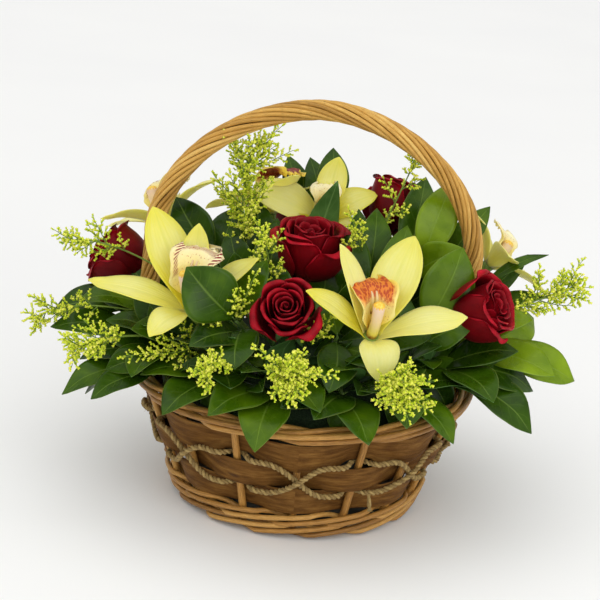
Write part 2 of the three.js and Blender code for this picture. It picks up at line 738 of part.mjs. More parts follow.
const rosettes = [
  {
    name: 'upper_right', place: [77, 0, 179], faces: [10, 35],
    tips: [[96, 20, 240, 36], [105, -22, 203, 28], [80, 46, 237, 30], [56, -18, 189, 26]],
  },
  {
    name: 'upper_left', place: [-71, 10, 168], faces: [-25, 35],
    tips: [[-103, 20, 212, 32], [-56, 32, 207, 28], [-112, 15, 140, 30]],
  },
  {
    name: 'centre_left', place: [-50, -88, 160], faces: [-22, 40],
    tips: [[-84, -98, 198, 42], [-33, -62, 197, 24], [-48, -122, 140, 34], [-78, -112, 150, 30]],
  },
  {
    name: 'centre_right', place: [20, -84, 152], faces: [20, 45],
    tips: [[8, -66, 178, 24], [17, -122, 128, 30], [84, -84, 160, 30], [62, -110, 146, 28]],
  },
  {
    name: 'top', place: [8, 66, 190], faces: [0, 20],
    tips: [[10, 84, 243, 26], [-7, 76, 236, 24], [-24, 88, 234, 24]],
  },
];

// ---- the assembly ----------------------------------------------------------------------

const boardProfile = [[0, 0], [boardRadius, 0], [boardRadius, boardThick], [0, boardThick]];
addNode('base_board', turnedSolid(boardProfile, turnedSteps), board);

const stakes = Array.from({ length: stakeCount }, (_, i) => stake(i));
addNode('willow_frame', joined([woveFoot(), rolledBorder(), ...stakes]), willow);
addNode('chip_band_lower', chipBand(lowerEdges, 1), chipwood);
addNode('chip_band_middle', chipBand(() => middleBand, -1), chipwood);
addNode('chip_band_upper', chipBand(upperEdges, 1), chipwood);
addNode('rope_one', rope(1), strawRope);
addNode('rope_two', rope(-1), strawRope);
addNode('handle', handleSolid(0).subtract(borderClearance()), paleWillow);
addNode('liner', linerSolid(), plastic);

// What is placed first keeps its shape; what comes later is cut clear of it.
let taken = joined([
  handleSolid(gap), borderClearance(), chipBand((wave) => [upperEdges(wave)[0], rimHeight], 1),
]);
const stemHoles = [];
const foam = foamSolid();

function addPlant(name, makers, material, stands = true) {
  const whole = joined(makers.map((make) => make(0)));
  const kept = whole.subtract(taken);
  addNode(name, kept, material, plantFinest);
  taken = taken.add(joined(makers.map((make) => make(gap)))).add(whole);
  if (stands) stemHoles.push(makers[0](gap));
}

// A function that turns a bloom's own x, y, z into the arrangement's.
function placer(middle, facing, roll, size) {
  const frame = frameAt(middle, facing, roll);
  return (x, y, z) => new THREE.Vector3(x, y, z).multiplyScalar(size).applyMatrix4(frame);
}

roses.forEach(({ name, place, faces, roll, size, leafTip }) => {
  const middle = new THREE.Vector3(...place);
  const facing = direction(...faces);
  const placed = placer(middle, facing, roll, size);
  const base = middle.clone().addScaledVector(facing, -35 * size);
  const stem = stemPath(base, facing, base.clone().sub(heart).normalize());
  addPlant(`rose_${name}_petals`, roseMakers(placed), roseRed, false);
  addPlant(`rose_${name}_stem`, roseGreenMakers(placed, stem, leafTip), roseGreen);
});

orchids.forEach(({ name, place, faces, roll, lip, lipSize = 1, tepals }) => {
  const base = new THREE.Vector3(...place);
  const facing = direction(...faces);
  const placed = placer(base, facing, roll, 1);
  const foot = base.clone().addScaledVector(facing, 3);
  const stem = stemPath(foot, facing, foot.clone().sub(heart).normalize());
  addPlant(`orchid_${name}_tepals`, orchidMakers(placed, tepals, stem), orchidYellow);
  const lipPlaced = placer(base, facing, roll, lipSize);
  addPlant(`orchid_${name}_lip`, lipMakers(lipPlaced, lip), orchidLip, false);
});

sprays.forEach((spray) => addPlant(`leaves_${spray.name}`, leafySpray(spray), leafGreen));
rosettes.forEach((spray) => addPlant(`leaves_${spray.name}`, leafRosette(spray), leafGreen));
goldenrods.forEach((spray) => addPlant(`goldenrod_${spray.name}`, goldenrodSpray(spray), goldenrod));

addNode('floral_foam', foam.subtract(joined(stemHoles)), foamGreen);

export default group;
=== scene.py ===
# Looks of a flower basket arrangement: woven basket, roses, orchids, goldenrod and broad leaves
import random
from math import copysign, cos, exp, hypot, pi, radians, sin, tan
import bpy
import bmesh
from mathutils import Vector, Matrix, Quaternion, noise


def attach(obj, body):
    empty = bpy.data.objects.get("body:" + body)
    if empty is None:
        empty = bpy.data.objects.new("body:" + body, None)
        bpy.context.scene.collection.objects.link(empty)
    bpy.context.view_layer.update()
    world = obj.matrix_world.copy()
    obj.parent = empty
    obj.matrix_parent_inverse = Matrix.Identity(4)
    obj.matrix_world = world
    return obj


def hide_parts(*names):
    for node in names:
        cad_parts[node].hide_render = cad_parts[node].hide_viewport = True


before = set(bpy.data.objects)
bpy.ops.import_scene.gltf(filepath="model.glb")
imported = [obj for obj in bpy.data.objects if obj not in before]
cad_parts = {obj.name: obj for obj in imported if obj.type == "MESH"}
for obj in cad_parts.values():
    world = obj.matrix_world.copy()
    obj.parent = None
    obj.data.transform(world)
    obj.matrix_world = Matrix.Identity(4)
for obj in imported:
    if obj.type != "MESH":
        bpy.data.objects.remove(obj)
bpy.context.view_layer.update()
bpy.context.scene.view_settings.view_transform = "Standard"

wholeTurn = 2 * pi
skyward = Vector((0, 0, 1))
luck = random.Random(7)


# numbers and curves (all lengths below are in millimetres)

def blend(a, b, t):
    return a + (b - a) * t


def ease(low, high, x):  # 0 below low, 1 above high
    t = min(1, max(0, (x - low) / (high - low)))
    return t * t * (3 - 2 * t)


def through(points, x):  # smooth line through (x, y) points
    last = len(points) - 1
    k = 0
    while k < last - 1 and x > points[k + 1][0]:
        k += 1
    (x0, y0), (x1, y1) = points[k], points[k + 1]
    before, after = points[max(k - 1, 0)], points[min(k + 2, last)]
    slope0 = (y1 - before[1]) / (x1 - before[0])
    slope1 = (after[1] - y0) / (after[0] - x0)
    wide = x1 - x0
    t = min(1, max(0, (x - x0) / wide))
    return (y0 * (1 + 2 * t) * (1 - t) ** 2 + slope0 * wide * t * (1 - t) ** 2
            + y1 * t * t * (3 - 2 * t) + slope1 * wide * t * t * (t - 1))


def bezier(a, b, c, d):  # a curve from a to d, drawn towards b and c
    def at(s):
        r = 1 - s
        return a * r ** 3 + b * (3 * r * r * s) + c * (3 * r * s * s) + d * s ** 3
    return at


def rough(x, y=0, z=0):  # smooth noise from -1 to 1
    return noise.noise(Vector((x, y, z)))


def anyWay(dice, low=-1):  # a random way and length, low is the least it rises
    return Vector((dice.uniform(-1, 1), dice.uniform(-1, 1), dice.uniform(low, 1)))


# mesh parts

def newShape():
    return {"points": [], "faces": [], "laid": [], "slots": [], "tones": []}


def addGrid(shape, rows, cols, pointAt, layAt, loop=False, slotAt=None, tone=0.5):  # rings of points
    start = len(shape["points"])
    for i in range(rows):
        for j in range(cols):
            shape["points"].append(pointAt(i, j))
    shape["tones"].extend([tone] * (rows * cols))
    for i in range(rows if loop else rows - 1):
        for j in range(cols):
            corners = ((i, j), (i, j + 1), (i + 1, j + 1), (i + 1, j))
            shape["faces"].append([start + (a % rows) * cols + b % cols for a, b in corners])
            shape["laid"].append([layAt(a, b) for a, b in corners])
            shape["slots"].append(slotAt(j) if slotAt else 0)
    return start


def closeEnds(shape, start, rows, cols, slot, first, last):  # a face on the first ring and on the last
    end = start + (rows - 1) * cols
    for corners, lay in ((range(start + cols - 1, start - 1, -1), first), (range(end, end + cols), last)):
        shape["faces"].append(list(corners))
        shape["laid"].append([lay] * cols)
        shape["slots"].append(slot)


def lengthsOf(path, loop=False):  # how far each point lies along the path, and the whole length
    lengths = [0]
    for i in range(1, len(path)):
        lengths.append(lengths[-1] + (path[i] - path[i - 1]).length)
    return lengths, lengths[-1] + ((path[0] - path[-1]).length if loop else 0)


def heading(path, i, loop=False):
    ahead = path[(i + 1) % len(path)] if loop else path[min(i + 1, len(path) - 1)]
    return (ahead - path[i - 1 if loop else max(i - 1, 0)]).normalized()


def addRod(shape, path, radii, sides=8, slot=0, tone=0.5, loop=False, side=None):
    rows = len(path)
    radiusOf = radii if callable(radii) else (lambda s: radii)
    lengths, whole = lengthsOf(path, loop)
    frames = []
    across = None
    for i in range(rows):
        along = heading(path, i, loop)
        if side is not None:
            across = side.cross(along).normalized()
        elif across is None:
            across = along.orthogonal().normalized()
        else:
            across = (across - along * across.dot(along)).normalized()
        frames.append((across, along.cross(across), radiusOf(i / (rows - 1))))

    def pointAt(i, j):
        level, above, radius = frames[i]
        a = wholeTurn * j / sides
        return path[i] + level * (radius * cos(a)) + above * (radius * sin(a))

    def layAt(i, j):
        return ((lengths[i] if i < rows else whole) / 100, j / sides)

    start = addGrid(shape, rows, sides, pointAt, layAt, loop, lambda j: slot, tone)
    if not loop:
        closeEnds(shape, start, rows, sides, slot, (0, 0), (whole / 100, 0))


def addSheet(shape, rows, cols, middleAt, thick, tone=0.5, slots=(0, 0)):  # both faces round a middle
    middle = [[middleAt(i / (rows - 1), 2 * j / (cols - 1) - 1) for j in range(cols)] for i in range(rows)]

    def faceUp(i, j):
        down = middle[min(i + 1, rows - 1)][j] - middle[max(i - 1, 0)][j]
        over = middle[i][min(j + 1, cols - 1)] - middle[i][max(j - 1, 0)]
        return down.cross(over).normalized()

    def pointAt(i, k):
        j = k if k < cols else 2 * cols - 1 - k
        v = 2 * j / (cols - 1) - 1
        half = thick / 2 * (1 - 0.6 * abs(v) ** 3)
        return middle[i][j] + faceUp(i, j) * (half if k < cols else -half)

    def layAt(i, k):
        k %= 2 * cols
        return (i / (rows - 1), (k if k < cols else 2 * cols - 1 - k) / (cols - 1))

    start = addGrid(shape, rows, 2 * cols, pointAt, layAt, False, lambda k: slots[0 if k < cols else 1],
                    tone)
    closeEnds(shape, start, rows, 2 * cols, slots[0], (0, 0.5), (1, 0.5))


def addTurned(shape, placed, profile, sides):  # profile is (radius, height), in the third finish
    def pointAt(i, j):
        a = wholeTurn * j / sides
        radius, height = profile[i]
        return placed(radius * cos(a), radius * sin(a), height)
    rows = len(profile)
    start = addGrid(shape, rows, sides, pointAt, lambda i, j: (i / (rows - 1), j / sides), False,
                    lambda j: 2)
    closeEnds(shape, start, rows, sides, 2, (0, 0), (1, 0))


def addObject(name, data):
    thing = bpy.data.objects.new(name, data)
    bpy.context.scene.collection.objects.link(thing)
    return thing


def makePiece(name, shape, finishes, nodes):
    mesh = bpy.data.meshes.new(name)
    mesh.from_pydata([p * 0.001 for p in shape["points"]], [], shape["faces"])
    laid = mesh.uv_layers.new(name="laid")
    laid.data.foreach_set("uv", [c for face in shape["laid"] for corner in face for c in corner])
    mesh.polygons.foreach_set("material_index", shape["slots"])
    mesh.polygons.foreach_set("use_smooth", [True] * len(shape["faces"]))
    tone = mesh.attributes.new("tone", "FLOAT", "POINT")
    tone.data.foreach_set("value", shape["tones"])
    outward = bmesh.new()
    outward.from_mesh(mesh)
    bmesh.ops.recalc_face_normals(outward, faces=outward.faces)
    outward.to_mesh(mesh)
    outward.free()
    for finish in finishes:
        mesh.materials.append(finish)
    piece = addObject(name, mesh)
    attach(piece, "root")
    if nodes:
        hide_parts(*nodes)


def standFor(node, shape, finishes):  # a piece that takes its name from the node it replaces
    first, *rest = node.split("_")
    makePiece(first + "".join(word.capitalize() for word in rest), shape, finishes, [node])


# shader parts

def startFinish(name, color, roughness, specular=0.5, depth=(), more=None):
    finish = bpy.data.materials.new(name)
    finish.use_nodes = True
    shader = finish.node_tree.nodes["Principled BSDF"]
    values = {"Base Color": (*color, 1), "Roughness": roughness, "Specular IOR Level": specular,
              **(more or {})}
    for key, value in zip(("Weight", "Scale", "Radius"), depth):  # light that passes below the surface
        values["Subsurface " + key] = value
    for key, value in values.items():
        shader.inputs[key].default_value = value
    return finish, finish.node_tree, shader


def fill(entry, value):  # value is a number, a color or another node's socket
    if isinstance(value, bpy.types.NodeSocket):
        entry.id_data.links.new(value, entry)
    else:
        entry.default_value = value


def put(tree, kind, settings=None, feeds=None):
    node = tree.nodes.new("ShaderNode" + kind)
    for key, value in (settings or {}).items():
        setattr(node, key, value)
    for key, value in (feeds or {}).items():
        fill(node.inputs[key], value)
    return node


def reckon(how, a, b=0, c=0):
    return put(a.id_data, "Math", {"operation": how}, {0: a, 1: b, 2: c}).outputs[0]


def times(a, b):
    return reckon("MULTIPLY", a, b)


def plus(a, b):
    return reckon("ADD", a, b)


def minus(a, b):
    return reckon("SUBTRACT", a, b)


def greater(a, b):
    return reckon("MAXIMUM", a, b)


def scaled(a, factor, more):  # a times the factor, and more
    return reckon("MULTIPLY_ADD", a, factor, more)


def toAndFro(a):  # up to 0.5 and back, over and over
    return reckon("PINGPONG", a, 0.5)


def shades(factor, stops):  # a stop is (place, color), or (place, grey)
    ramp = put(factor.id_data, "ValToRGB", None, {"Fac": factor})
    while len(ramp.color_ramp.elements) < len(stops):
        ramp.color_ramp.elements.new(1)
    for element, (place, color) in zip(ramp.color_ramp.elements, stops):
        element.position = place
        element.color = (*color, 1) if isinstance(color, tuple) else (color, color, color, 1)
    return ramp.outputs["Color"]


def fade(factor, start, first, end, last):  # the first value up to the start, the last from the end on
    return shades(factor, [(start, first), (end, last)])


def band(factor, a, b, c, d):  # 1 from b to c, 0 outside a and d
    return shades(factor, [(a, 0), (b, 1), (c, 1), (d, 0)])


def mixed(factor, a, b, how="MIX"):
    tree = (a if isinstance(a, bpy.types.NodeSocket) else factor).id_data
    node = put(tree, "Mix", {"data_type": "RGBA", "blend_type": how}, {0: factor})
    for place, value in ((6, a), (7, b)):
        fill(node.inputs[place], (*value, 1) if isinstance(value, tuple) else value)
    return node.outputs[2]


def laidOut(tree):  # u along, v across
    parts = put(tree, "SeparateXYZ", None, {0: put(tree, "UVMap", {"uv_map": "laid"}).outputs[0]})
    return parts.outputs[0], parts.outputs[1]


def stretched(tree, along, across):  # the laid-out coordinates, scaled
    laid = put(tree, "UVMap", {"uv_map": "laid"}).outputs[0]
    return put(tree, "Mapping", None, {"Vector": laid, "Scale": (along, across, 1)}).outputs[0]


def inPlace(tree):  # coordinates in the piece's own space
    return put(tree, "TexCoord").outputs["Object"]


def cloudy(where, scale, detail=3, coarse=0.5):
    feeds = {"Vector": where, "Scale": scale, "Detail": detail, "Roughness": coarse}
    return put(where.id_data, "TexNoise", None, feeds).outputs["Fac"]


def celled(where, scale):
    return put(where.id_data, "TexVoronoi", None, {"Vector": where, "Scale": scale}).outputs["Distance"]


def toneOf(tree):
    return put(tree, "Attribute", {"attribute_name": "tone"}).outputs["Fac"]


def feed(shader, key, value):
    fill(shader.inputs[key], value)


def paint(shader, color):
    feed(shader, "Base Color", color)


def raised(shader, height, strength, depth):  # depth in metres
    feeds = {"Height": height, "Strength": strength, "Distance": depth}
    feed(shader, "Normal", put(shader.id_data, "Bump", None, feeds).outputs[0])


# finishes

def rodFinish(name, dark, middle, light):
    finish, tree, shader = startFinish(name, middle, 0.4, 0.3)
    grain = cloudy(stretched(tree, 2.2, 5), 4, 5, 0.6)
    fine = cloudy(stretched(tree, 5, 26), 5, 3, 0.6)
    spread = scaled(grain, 0.75, scaled(toneOf(tree), 0.55, -0.275))
    color = shades(spread, [(0.1, dark), (0.4, middle), (0.72, light)])
    color = mixed(fade(fine, 0.4, 0.45, 0.56, 0), color, dark)
    knots = fade(celled(stretched(tree, 2.4, 2), 2.6), 0.03, 1, 0.085, 0)
    paint(shader, mixed(knots, color, (0.035, 0.014, 0.006)))
    feed(shader, "Roughness", fade(grain, 0.2, 0.55, 0.8, 0.36))
    raised(shader, plus(fine, knots), 0.35, 0.0004)
    return finish


willowRod = rodFinish("willowRod", (0.09, 0.03, 0.004), (0.49, 0.24, 0.05), (0.8, 0.48, 0.14))
handleRod = rodFinish("handleRod", (0.12, 0.042, 0.004), (0.66, 0.36, 0.07), (0.95, 0.65, 0.2))


def chipFinish():
    finish, tree, shader = startFinish("stainedChipwood", (0.13, 0.062, 0.03), 0.62, 0.08)
    streaks = cloudy(stretched(tree, 1.6, 30), 3, 6, 0.65)
    clouds = cloudy(stretched(tree, 1.6, 1.8), 2.6, 4, 0.6)
    lines = cloudy(stretched(tree, 2, 120), 3, 2, 0.5)
    knots = fade(celled(stretched(tree, 1.3, 0.7), 1.7), 0.05, 0.7, 0.12, 0)
    color = shades(clouds, [(0.34, (0.085, 0.033, 0.006)), (0.5, (0.155, 0.066, 0.013)),
                            (0.68, (0.27, 0.13, 0.03))])
    color = mixed(fade(streaks, 0.34, 0.7, 0.56, 0), color, (0.05, 0.018, 0.004))
    color = mixed(fade(lines, 0.5, 0, 0.75, 0.25), color, (0.34, 0.18, 0.05))
    paint(shader, mixed(knots, color, (0.04, 0.016, 0.008)))
    raised(shader, plus(streaks, lines), 0.45, 0.0005)
    return finish


def ropeFinish():
    finish, tree, shader = startFinish("twistedStraw", (0.3, 0.2, 0.08), 0.75)
    strands = cloudy(stretched(tree, 9, 7), 4, 4, 0.6)
    spread = plus(strands, times(minus(toneOf(tree), 0.5), 0.4))
    paint(shader, shades(spread, [(0.28, (0.08, 0.045, 0.01)), (0.5, (0.29, 0.185, 0.055)),
                                  (0.72, (0.5, 0.36, 0.13))]))
    raised(shader, strands, 0.7, 0.0004)
    return finish


def boardFinish():
    finish, tree, shader = startFinish("plainBoard", (0.42, 0.27, 0.13), 0.7)
    place = put(tree, "Mapping", None, {"Vector": inPlace(tree), "Scale": (6, 90, 90)}).outputs[0]
    grain = cloudy(place, 4, 5, 0.6)
    paint(shader, shades(grain, [(0.3, (0.24, 0.14, 0.06)), (0.7, (0.5, 0.34, 0.17))]))
    raised(shader, grain, 0.3, 0.0004)
    return finish


def linerFinish():
    finish, tree, shader = startFinish("darkLiner", (0.018, 0.022, 0.014), 0.42)
    dull = cloudy(inPlace(tree), 60)
    feed(shader, "Roughness", fade(dull, 0.3, 0.35, 0.7, 0.6))
    raised(shader, dull, 0.2, 0.0006)
    return finish


def foamFinish():
    finish, tree, shader = startFinish("wetFoam", (0.02, 0.05, 0.014), 0.85)
    cells = celled(inPlace(tree), 900)
    clouds = cloudy(inPlace(tree), 45)
    color = shades(clouds, [(0.3, (0.008, 0.022, 0.006)), (0.7, (0.026, 0.06, 0.016))])
    paint(shader, mixed(fade(cells, 0.1, 0.6, 0.5, 0), color, (0.004, 0.01, 0.003)))
    raised(shader, cells, 0.6, 0.0006)
    return finish


def petalFinish():
    depth = (0.12, 0.4, (0.004, 0.0006, 0.0004))
    velvet = {"Sheen Weight": 0.08, "Sheen Roughness": 0.35, "Sheen Tint": (1, 0.08, 0.12, 1)}
    finish, tree, shader = startFinish("rosePetal", (0.4, 0.002, 0.012), 0.5, 0.14, depth, velvet)
    u = laidOut(tree)[0]
    veins = cloudy(stretched(tree, 1.4, 22), 3, 4, 0.6)
    blush = cloudy(stretched(tree, 2, 2.5), 2, 3, 0.5)
    # along each petal from base to lip: near black low down, where the petals overlap, as painted shade,
    # and brightest just below the lip as a painted highlight on the rolled rims
    color = shades(u, [(0, (0.02, 0, 0.001)), (0.35, (0.12, 0.0004, 0.003)),
                       (0.78, (0.22, 0.0007, 0.005)), (0.93, (0.42, 0.0016, 0.011)),
                       (0.975, (0.56, 0.004, 0.02)), (1, (0.44, 0.0025, 0.013))])
    color = mixed(fade(veins, 0.4, 0.35, 0.62, 0), color, (0.16, 0.0006, 0.005))
    color = mixed(fade(blush, 0.35, 0.5, 0.6, 0), color, (0.1, 0.0004, 0.003))
    # each petal's tone as a grey multiplier: random per petal, and lower on the inner petals as painted
    # shade in the rose's centre
    shade = scaled(toneOf(tree), 0.9, 0.45)
    grey = put(tree, "CombineXYZ", None, {0: shade, 1: shade, 2: shade}).outputs[0]
    paint(shader, mixed(1, color, grey, "MULTIPLY"))
    raised(shader, veins, 0.25, 0.0005)
    return finish


def greenFinish(name, dark, light):
    finish, tree, shader = startFinish(name, light, 0.5, 0.4)
    lines = cloudy(stretched(tree, 3, 12), 4, 3, 0.55)
    paint(shader, shades(lines, [(0.3, dark), (0.7, light)]))
    raised(shader, lines, 0.25, 0.0003)
    return finish


def acrossEdge(v):  # 0 at the midline, 1 at either margin
    return reckon("ABSOLUTE", scaled(v, 2, -1))


def tepalFinish():
    depth = (0.6, 1, (0.006, 0.005, 0.0018))
    finish, tree, shader = startFinish("orchidTepal", (0.8, 0.74, 0.2), 0.4, 0.25, depth,
                                       {"Sheen Weight": 0.05})
    u, v = laidOut(tree)
    edge = acrossEdge(v)
    veins = toAndFro(times(v, 13))
    soft = cloudy(stretched(tree, 2, 5), 3, 3, 0.5)
    along = plus(u, scaled(soft, 0.5, -0.25))
    color = shades(along, [(0, (0.6, 0.5, 0.01)), (0.28, (0.83, 0.69, 0.05)), (0.6, (0.89, 0.78, 0.21)),
                           (0.95, (0.85, 0.72, 0.08))])
    color = mixed(fade(edge, 0.6, 0, 1, 0.7), color, (0.8, 0.66, 0.015))
    color = mixed(fade(veins, 0, 0.16, 0.16, 0), color, (0.6, 0.62, 0.06))
    color = mixed(fade(edge, 0, 0.25, 0.1, 0), color, (0.6, 0.6, 0.06))
    pale = times(fade(toneOf(tree), 0.4, 0, 1, 1), 0.55)
    paint(shader, mixed(pale, color, (0.92, 0.85, 0.36)))
    raised(shader, plus(veins, soft), 0.2, 0.0006)
    return finish


def lipFinish():
    depth = (0.2, 0.5, (0.004, 0.003, 0.0015))
    finish, tree, shader = startFinish("orchidLip", (0.86, 0.72, 0.3), 0.42, 0.3, depth)
    u, v = laidOut(tree)
    tone = toneOf(tree)  # 0 pale with dashes, 0.5 orange-red frill, 1 dark red frill
    edge = acrossEdge(v)
    wander = cloudy(stretched(tree, 9, 9), 3, 3, 0.6)
    shifted = plus(u, scaled(wander, 0.14, -0.07))
    color = shades(u, [(0, (0.62, 0.34, 0.02)), (0.2, (0.84, 0.66, 0.1)), (0.45, (0.9, 0.78, 0.3)),
                       (0.75, (0.86, 0.66, 0.16)), (1, (0.86, 0.62, 0.06))])
    front = times(band(shifted, 0.5, 0.62, 0.93, 0.98), fade(edge, 0.82, 1, 0.97, 0))
    lobes = times(band(u, 0.16, 0.26, 0.56, 0.64), band(edge, 0.35, 0.55, 0.9, 0.98))
    cells = celled(stretched(tree, 6, 8), 3.2)
    dots = fade(cells, 0.46, 1, 0.6, 0)
    fewer = fade(cells, 0.13, 1, 0.22, 0)
    strong = fade(tone, 0.2, 0, 0.4, 1)
    cream = times(fade(tone, 0.1, 1, 0.3, 0), fade(u, 0.55, 0, 0.85, 0.8))
    color = mixed(cream, color, (0.93, 0.87, 0.62))
    ground = mixed(fade(tone, 0.6, 0, 0.9, 1), (0.66, 0.17, 0.012), (0.26, 0.012, 0.012))
    color = mixed(times(front, times(strong, 0.95)), color, ground)
    red = mixed(fade(tone, 0.5, 0, 0.9, 1), (0.42, 0.055, 0.008), (0.16, 0.004, 0.006))
    color = mixed(times(front, greater(fewer, times(dots, strong))), color, red)
    freckles = times(times(lobes, fewer), scaled(strong, 0.6, 0.4))
    color = mixed(freckles, color, (0.3, 0.02, 0.012))
    sideMargin = times(fade(u, 0.45, 0, 0.5, 1), band(edge, 0.74, 0.78, 0.88, 0.92))
    margin = greater(band(u, 0.8, 0.84, 0.9, 0.93), sideMargin)
    stripes = fade(toAndFro(times(plus(v, u), 22)), 0.2, 1, 0.3, 0)
    paleOnly = band(tone, 0.01, 0.05, 0.2, 0.4)
    dashes = times(times(margin, stripes), paleOnly)
    color = mixed(dashes, color, (0.24, 0.008, 0.01))
    paint(shader, mixed(fade(shifted, 0.06, 0.85, 0.12, 0), color, (0.16, 0.02, 0.008)))
    raised(shader, plus(wander, dots), 0.3, 0.0007)
    return finish


def columnFinish():
    finish, tree, shader = startFinish("orchidColumn", (0.85, 0.62, 0.4), 0.4, 0.5, (0.15, 0.3))
    u = laidOut(tree)[0]
    soft = cloudy(inPlace(tree), 500)
    along = plus(times(u, 3.6), scaled(soft, 0.16, -0.08))
    paint(shader, shades(along, [(0, (0.25, 0.05, 0.01)), (0.15, (0.76, 0.6, 0.08)),
                                 (0.5, (0.84, 0.6, 0.3)), (0.9, (0.86, 0.6, 0.44))]))
    raised(shader, soft, 0.15, 0.0004)
    return finish


def capFinish():
    finish, tree, shader = startFinish("orchidCap", (0.86, 0.55, 0.03), 0.35)
    soft = cloudy(inPlace(tree), 900)
    paint(shader, shades(soft, [(0.3, (0.8, 0.42, 0.015)), (0.7, (0.92, 0.68, 0.1))]))
    raised(shader, soft, 0.2, 0.0003)
    return finish


def veinsOf(u, edge, rib, branch):  # the midrib and the side veins, 1 on a vein
    slant = minus(times(u, 8), times(edge, 1.7))
    side = times(fade(toAndFro(slant), 0, 1, branch, 0), fade(edge, 0, 0.4, 0.9, 0.06))
    return greater(fade(edge, rib / 3, 1, rib, 0), side)


def leafFinish():
    finish, tree, shader = startFinish("leafTop", (0.03, 0.11, 0.004), 0.34, 0.18)
    u, v = laidOut(tree)
    edge = acrossEdge(v)
    clouds = cloudy(inPlace(tree), 60, 3, 0.5)
    spread = plus(toneOf(tree), scaled(clouds, 0.6, -0.3))
    color = shades(spread, [(0.1, (0.005, 0.02, 0.001)), (0.42, (0.034, 0.085, 0.001)),
                            (0.72, (0.1, 0.18, 0.002)), (1, (0.21, 0.32, 0.01))])
    veins = veinsOf(u, edge, 0.055, 0.075)
    color = mixed(times(veins, 0.32), color, (0.22, 0.34, 0.05))
    paint(shader, mixed(fade(edge, 0.95, 0, 1, 0.4), color, (0.26, 0.34, 0.06)))
    feed(shader, "Roughness", fade(clouds, 0.3, 0.22, 0.7, 0.36))
    raised(shader, minus(times(clouds, 0.5), veins), 0.4, 0.0005)
    return finish


def leafUnderFinish():
    finish, tree, shader = startFinish("leafUnder", (0.075, 0.16, 0.06), 0.55, 0.2)
    u, v = laidOut(tree)
    clouds = cloudy(inPlace(tree), 90)
    veins = veinsOf(u, acrossEdge(v), 0.09, 0.09)
    color = shades(clouds, [(0.3, (0.045, 0.12, 0.022)), (0.7, (0.085, 0.19, 0.045))])
    paint(shader, mixed(times(veins, 0.6), color, (0.18, 0.33, 0.1)))
    raised(shader, veins, 0.4, 0.0006)
    return finish


def budFinish():
    depth = (0.15, 0.5, (0.002, 0.002, 0.0005))
    finish, tree, shader = startFinish("goldenrodBud", (0.5, 0.58, 0.03), 0.6, 0.2, depth)
    u = laidOut(tree)[0]
    along = plus(times(u, 0.6), scaled(toneOf(tree), 0.6, -0.1))
    paint(shader, shades(along, [(0.05, (0.14, 0.3, 0.008)), (0.3, (0.4, 0.56, 0.016)),
                                 (0.6, (0.66, 0.74, 0.04)), (0.95, (0.88, 0.86, 0.14))]))
    raised(shader, cloudy(inPlace(tree), 1500), 0.2, 0.0002)
    return finish


chipwood = chipFinish()
straw = ropeFinish()
rosePetal = petalFinish()
roseGreen = greenFinish("roseGreen", (0.03, 0.085, 0.012), (0.085, 0.2, 0.025))
orchidTepal = tepalFinish()
orchidLip = lipFinish()
orchidColumn = columnFinish()
orchidCap = capFinish()
leafTop = leafFinish()
leafUnder = leafUnderFinish()
leafStem = greenFinish("leafStem", (0.06, 0.12, 0.02), (0.16, 0.26, 0.05))
goldBud = budFinish()
goldStem = greenFinish("goldenrodStem", (0.09, 0.17, 0.02), (0.24, 0.34, 0.04))
print("finishes made")

cadFinishes = {"base_board": boardFinish(), "liner": linerFinish(), "floral_foam": foamFinish()}
for node, finish in cadFinishes.items():
    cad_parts[node].data.materials.clear()
    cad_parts[node].data.materials.append(finish)


# the basket

basket = {"stakes": 16, "footRadius": 90, "footHeight": 12, "rimRadius": 119.5, "rimHeight": 93,
          "bandThick": 1.2, "bandWave": 3.7, "middle": 54.5, "outer": (23.4, 85.6), "half": 10.5,
          "inner": [(0, 15.1), (0.2, 14.8), (0.34, 10.5), (0.62, 9.4), (1, 7.2)]}  # stake to crossing


def around(angle, radius, height):  # angles start at the front and grow towards +X
    return Vector((radius * sin(angle), -radius * cos(angle), height))


def wallRadius(height):
    share = (height - basket["footHeight"]) / (basket["rimHeight"] - basket["footHeight"])
    return blend(basket["footRadius"], basket["rimRadius"], share)


def addWale(shape, row, level, shift):  # its rods pass before the stakes in turn, slanting upwards
    steps = row["strokes"] * row["detail"]
    for rod in range(row["rods"]):
        tone = 0.3 + 0.5 * ((rod * 0.45 + shift * 2) % 1)
        path = []
        for i in range(steps):
            angle = wholeTurn * i / steps
            phase = (i / row["detail"] + rod / row["rods"] + shift) % 1
            front = 1 - 1 / row["rods"]
            if phase < front:
                rise = phase / front
            else:
                rise = 1 - (phase - front) / (1 - front)
            height = level + row["climb"] * (2 * rise - 1) + 0.35 * rough(angle * 3, rod)
            swing = ease(0, 0.12, phase) * (1 - ease(front - 0.06, front + 0.1, phase))
            out = blend(-row["depth"], row["depth"], swing) + 0.5 * swing * (0.5 - rise)
            path.append(around(angle, wallRadius(height) + out + row["offset"], height))

        def radius(s, rod=rod):
            return row["radius"] * (1 + 0.07 * rough(s * 40, rod * 7))
        addRod(shape, path, radius, 8, 0, tone, True, skyward)


foot = {"rods": 3, "strokes": 5, "detail": 22, "radius": 1.9, "climb": 5.4, "depth": 4, "offset": 0.5,
        "rows": [(7.4, 0), (16.6, 0.19)]}  # the height of each row, and how far on it starts
rim = {"rods": 3, "strokes": 4, "detail": 22, "radius": 2.1, "climb": 4.6, "depth": 4.7, "offset": 0.8,
       "rows": [(92.4, 0.1)], "roll": 96.6, "turns": 9}

shape = newShape()
for level, shift in foot["rows"]:
    addWale(shape, foot, level, shift)
makePiece("wovenFoot", shape, [willowRod], ["willow_frame"])

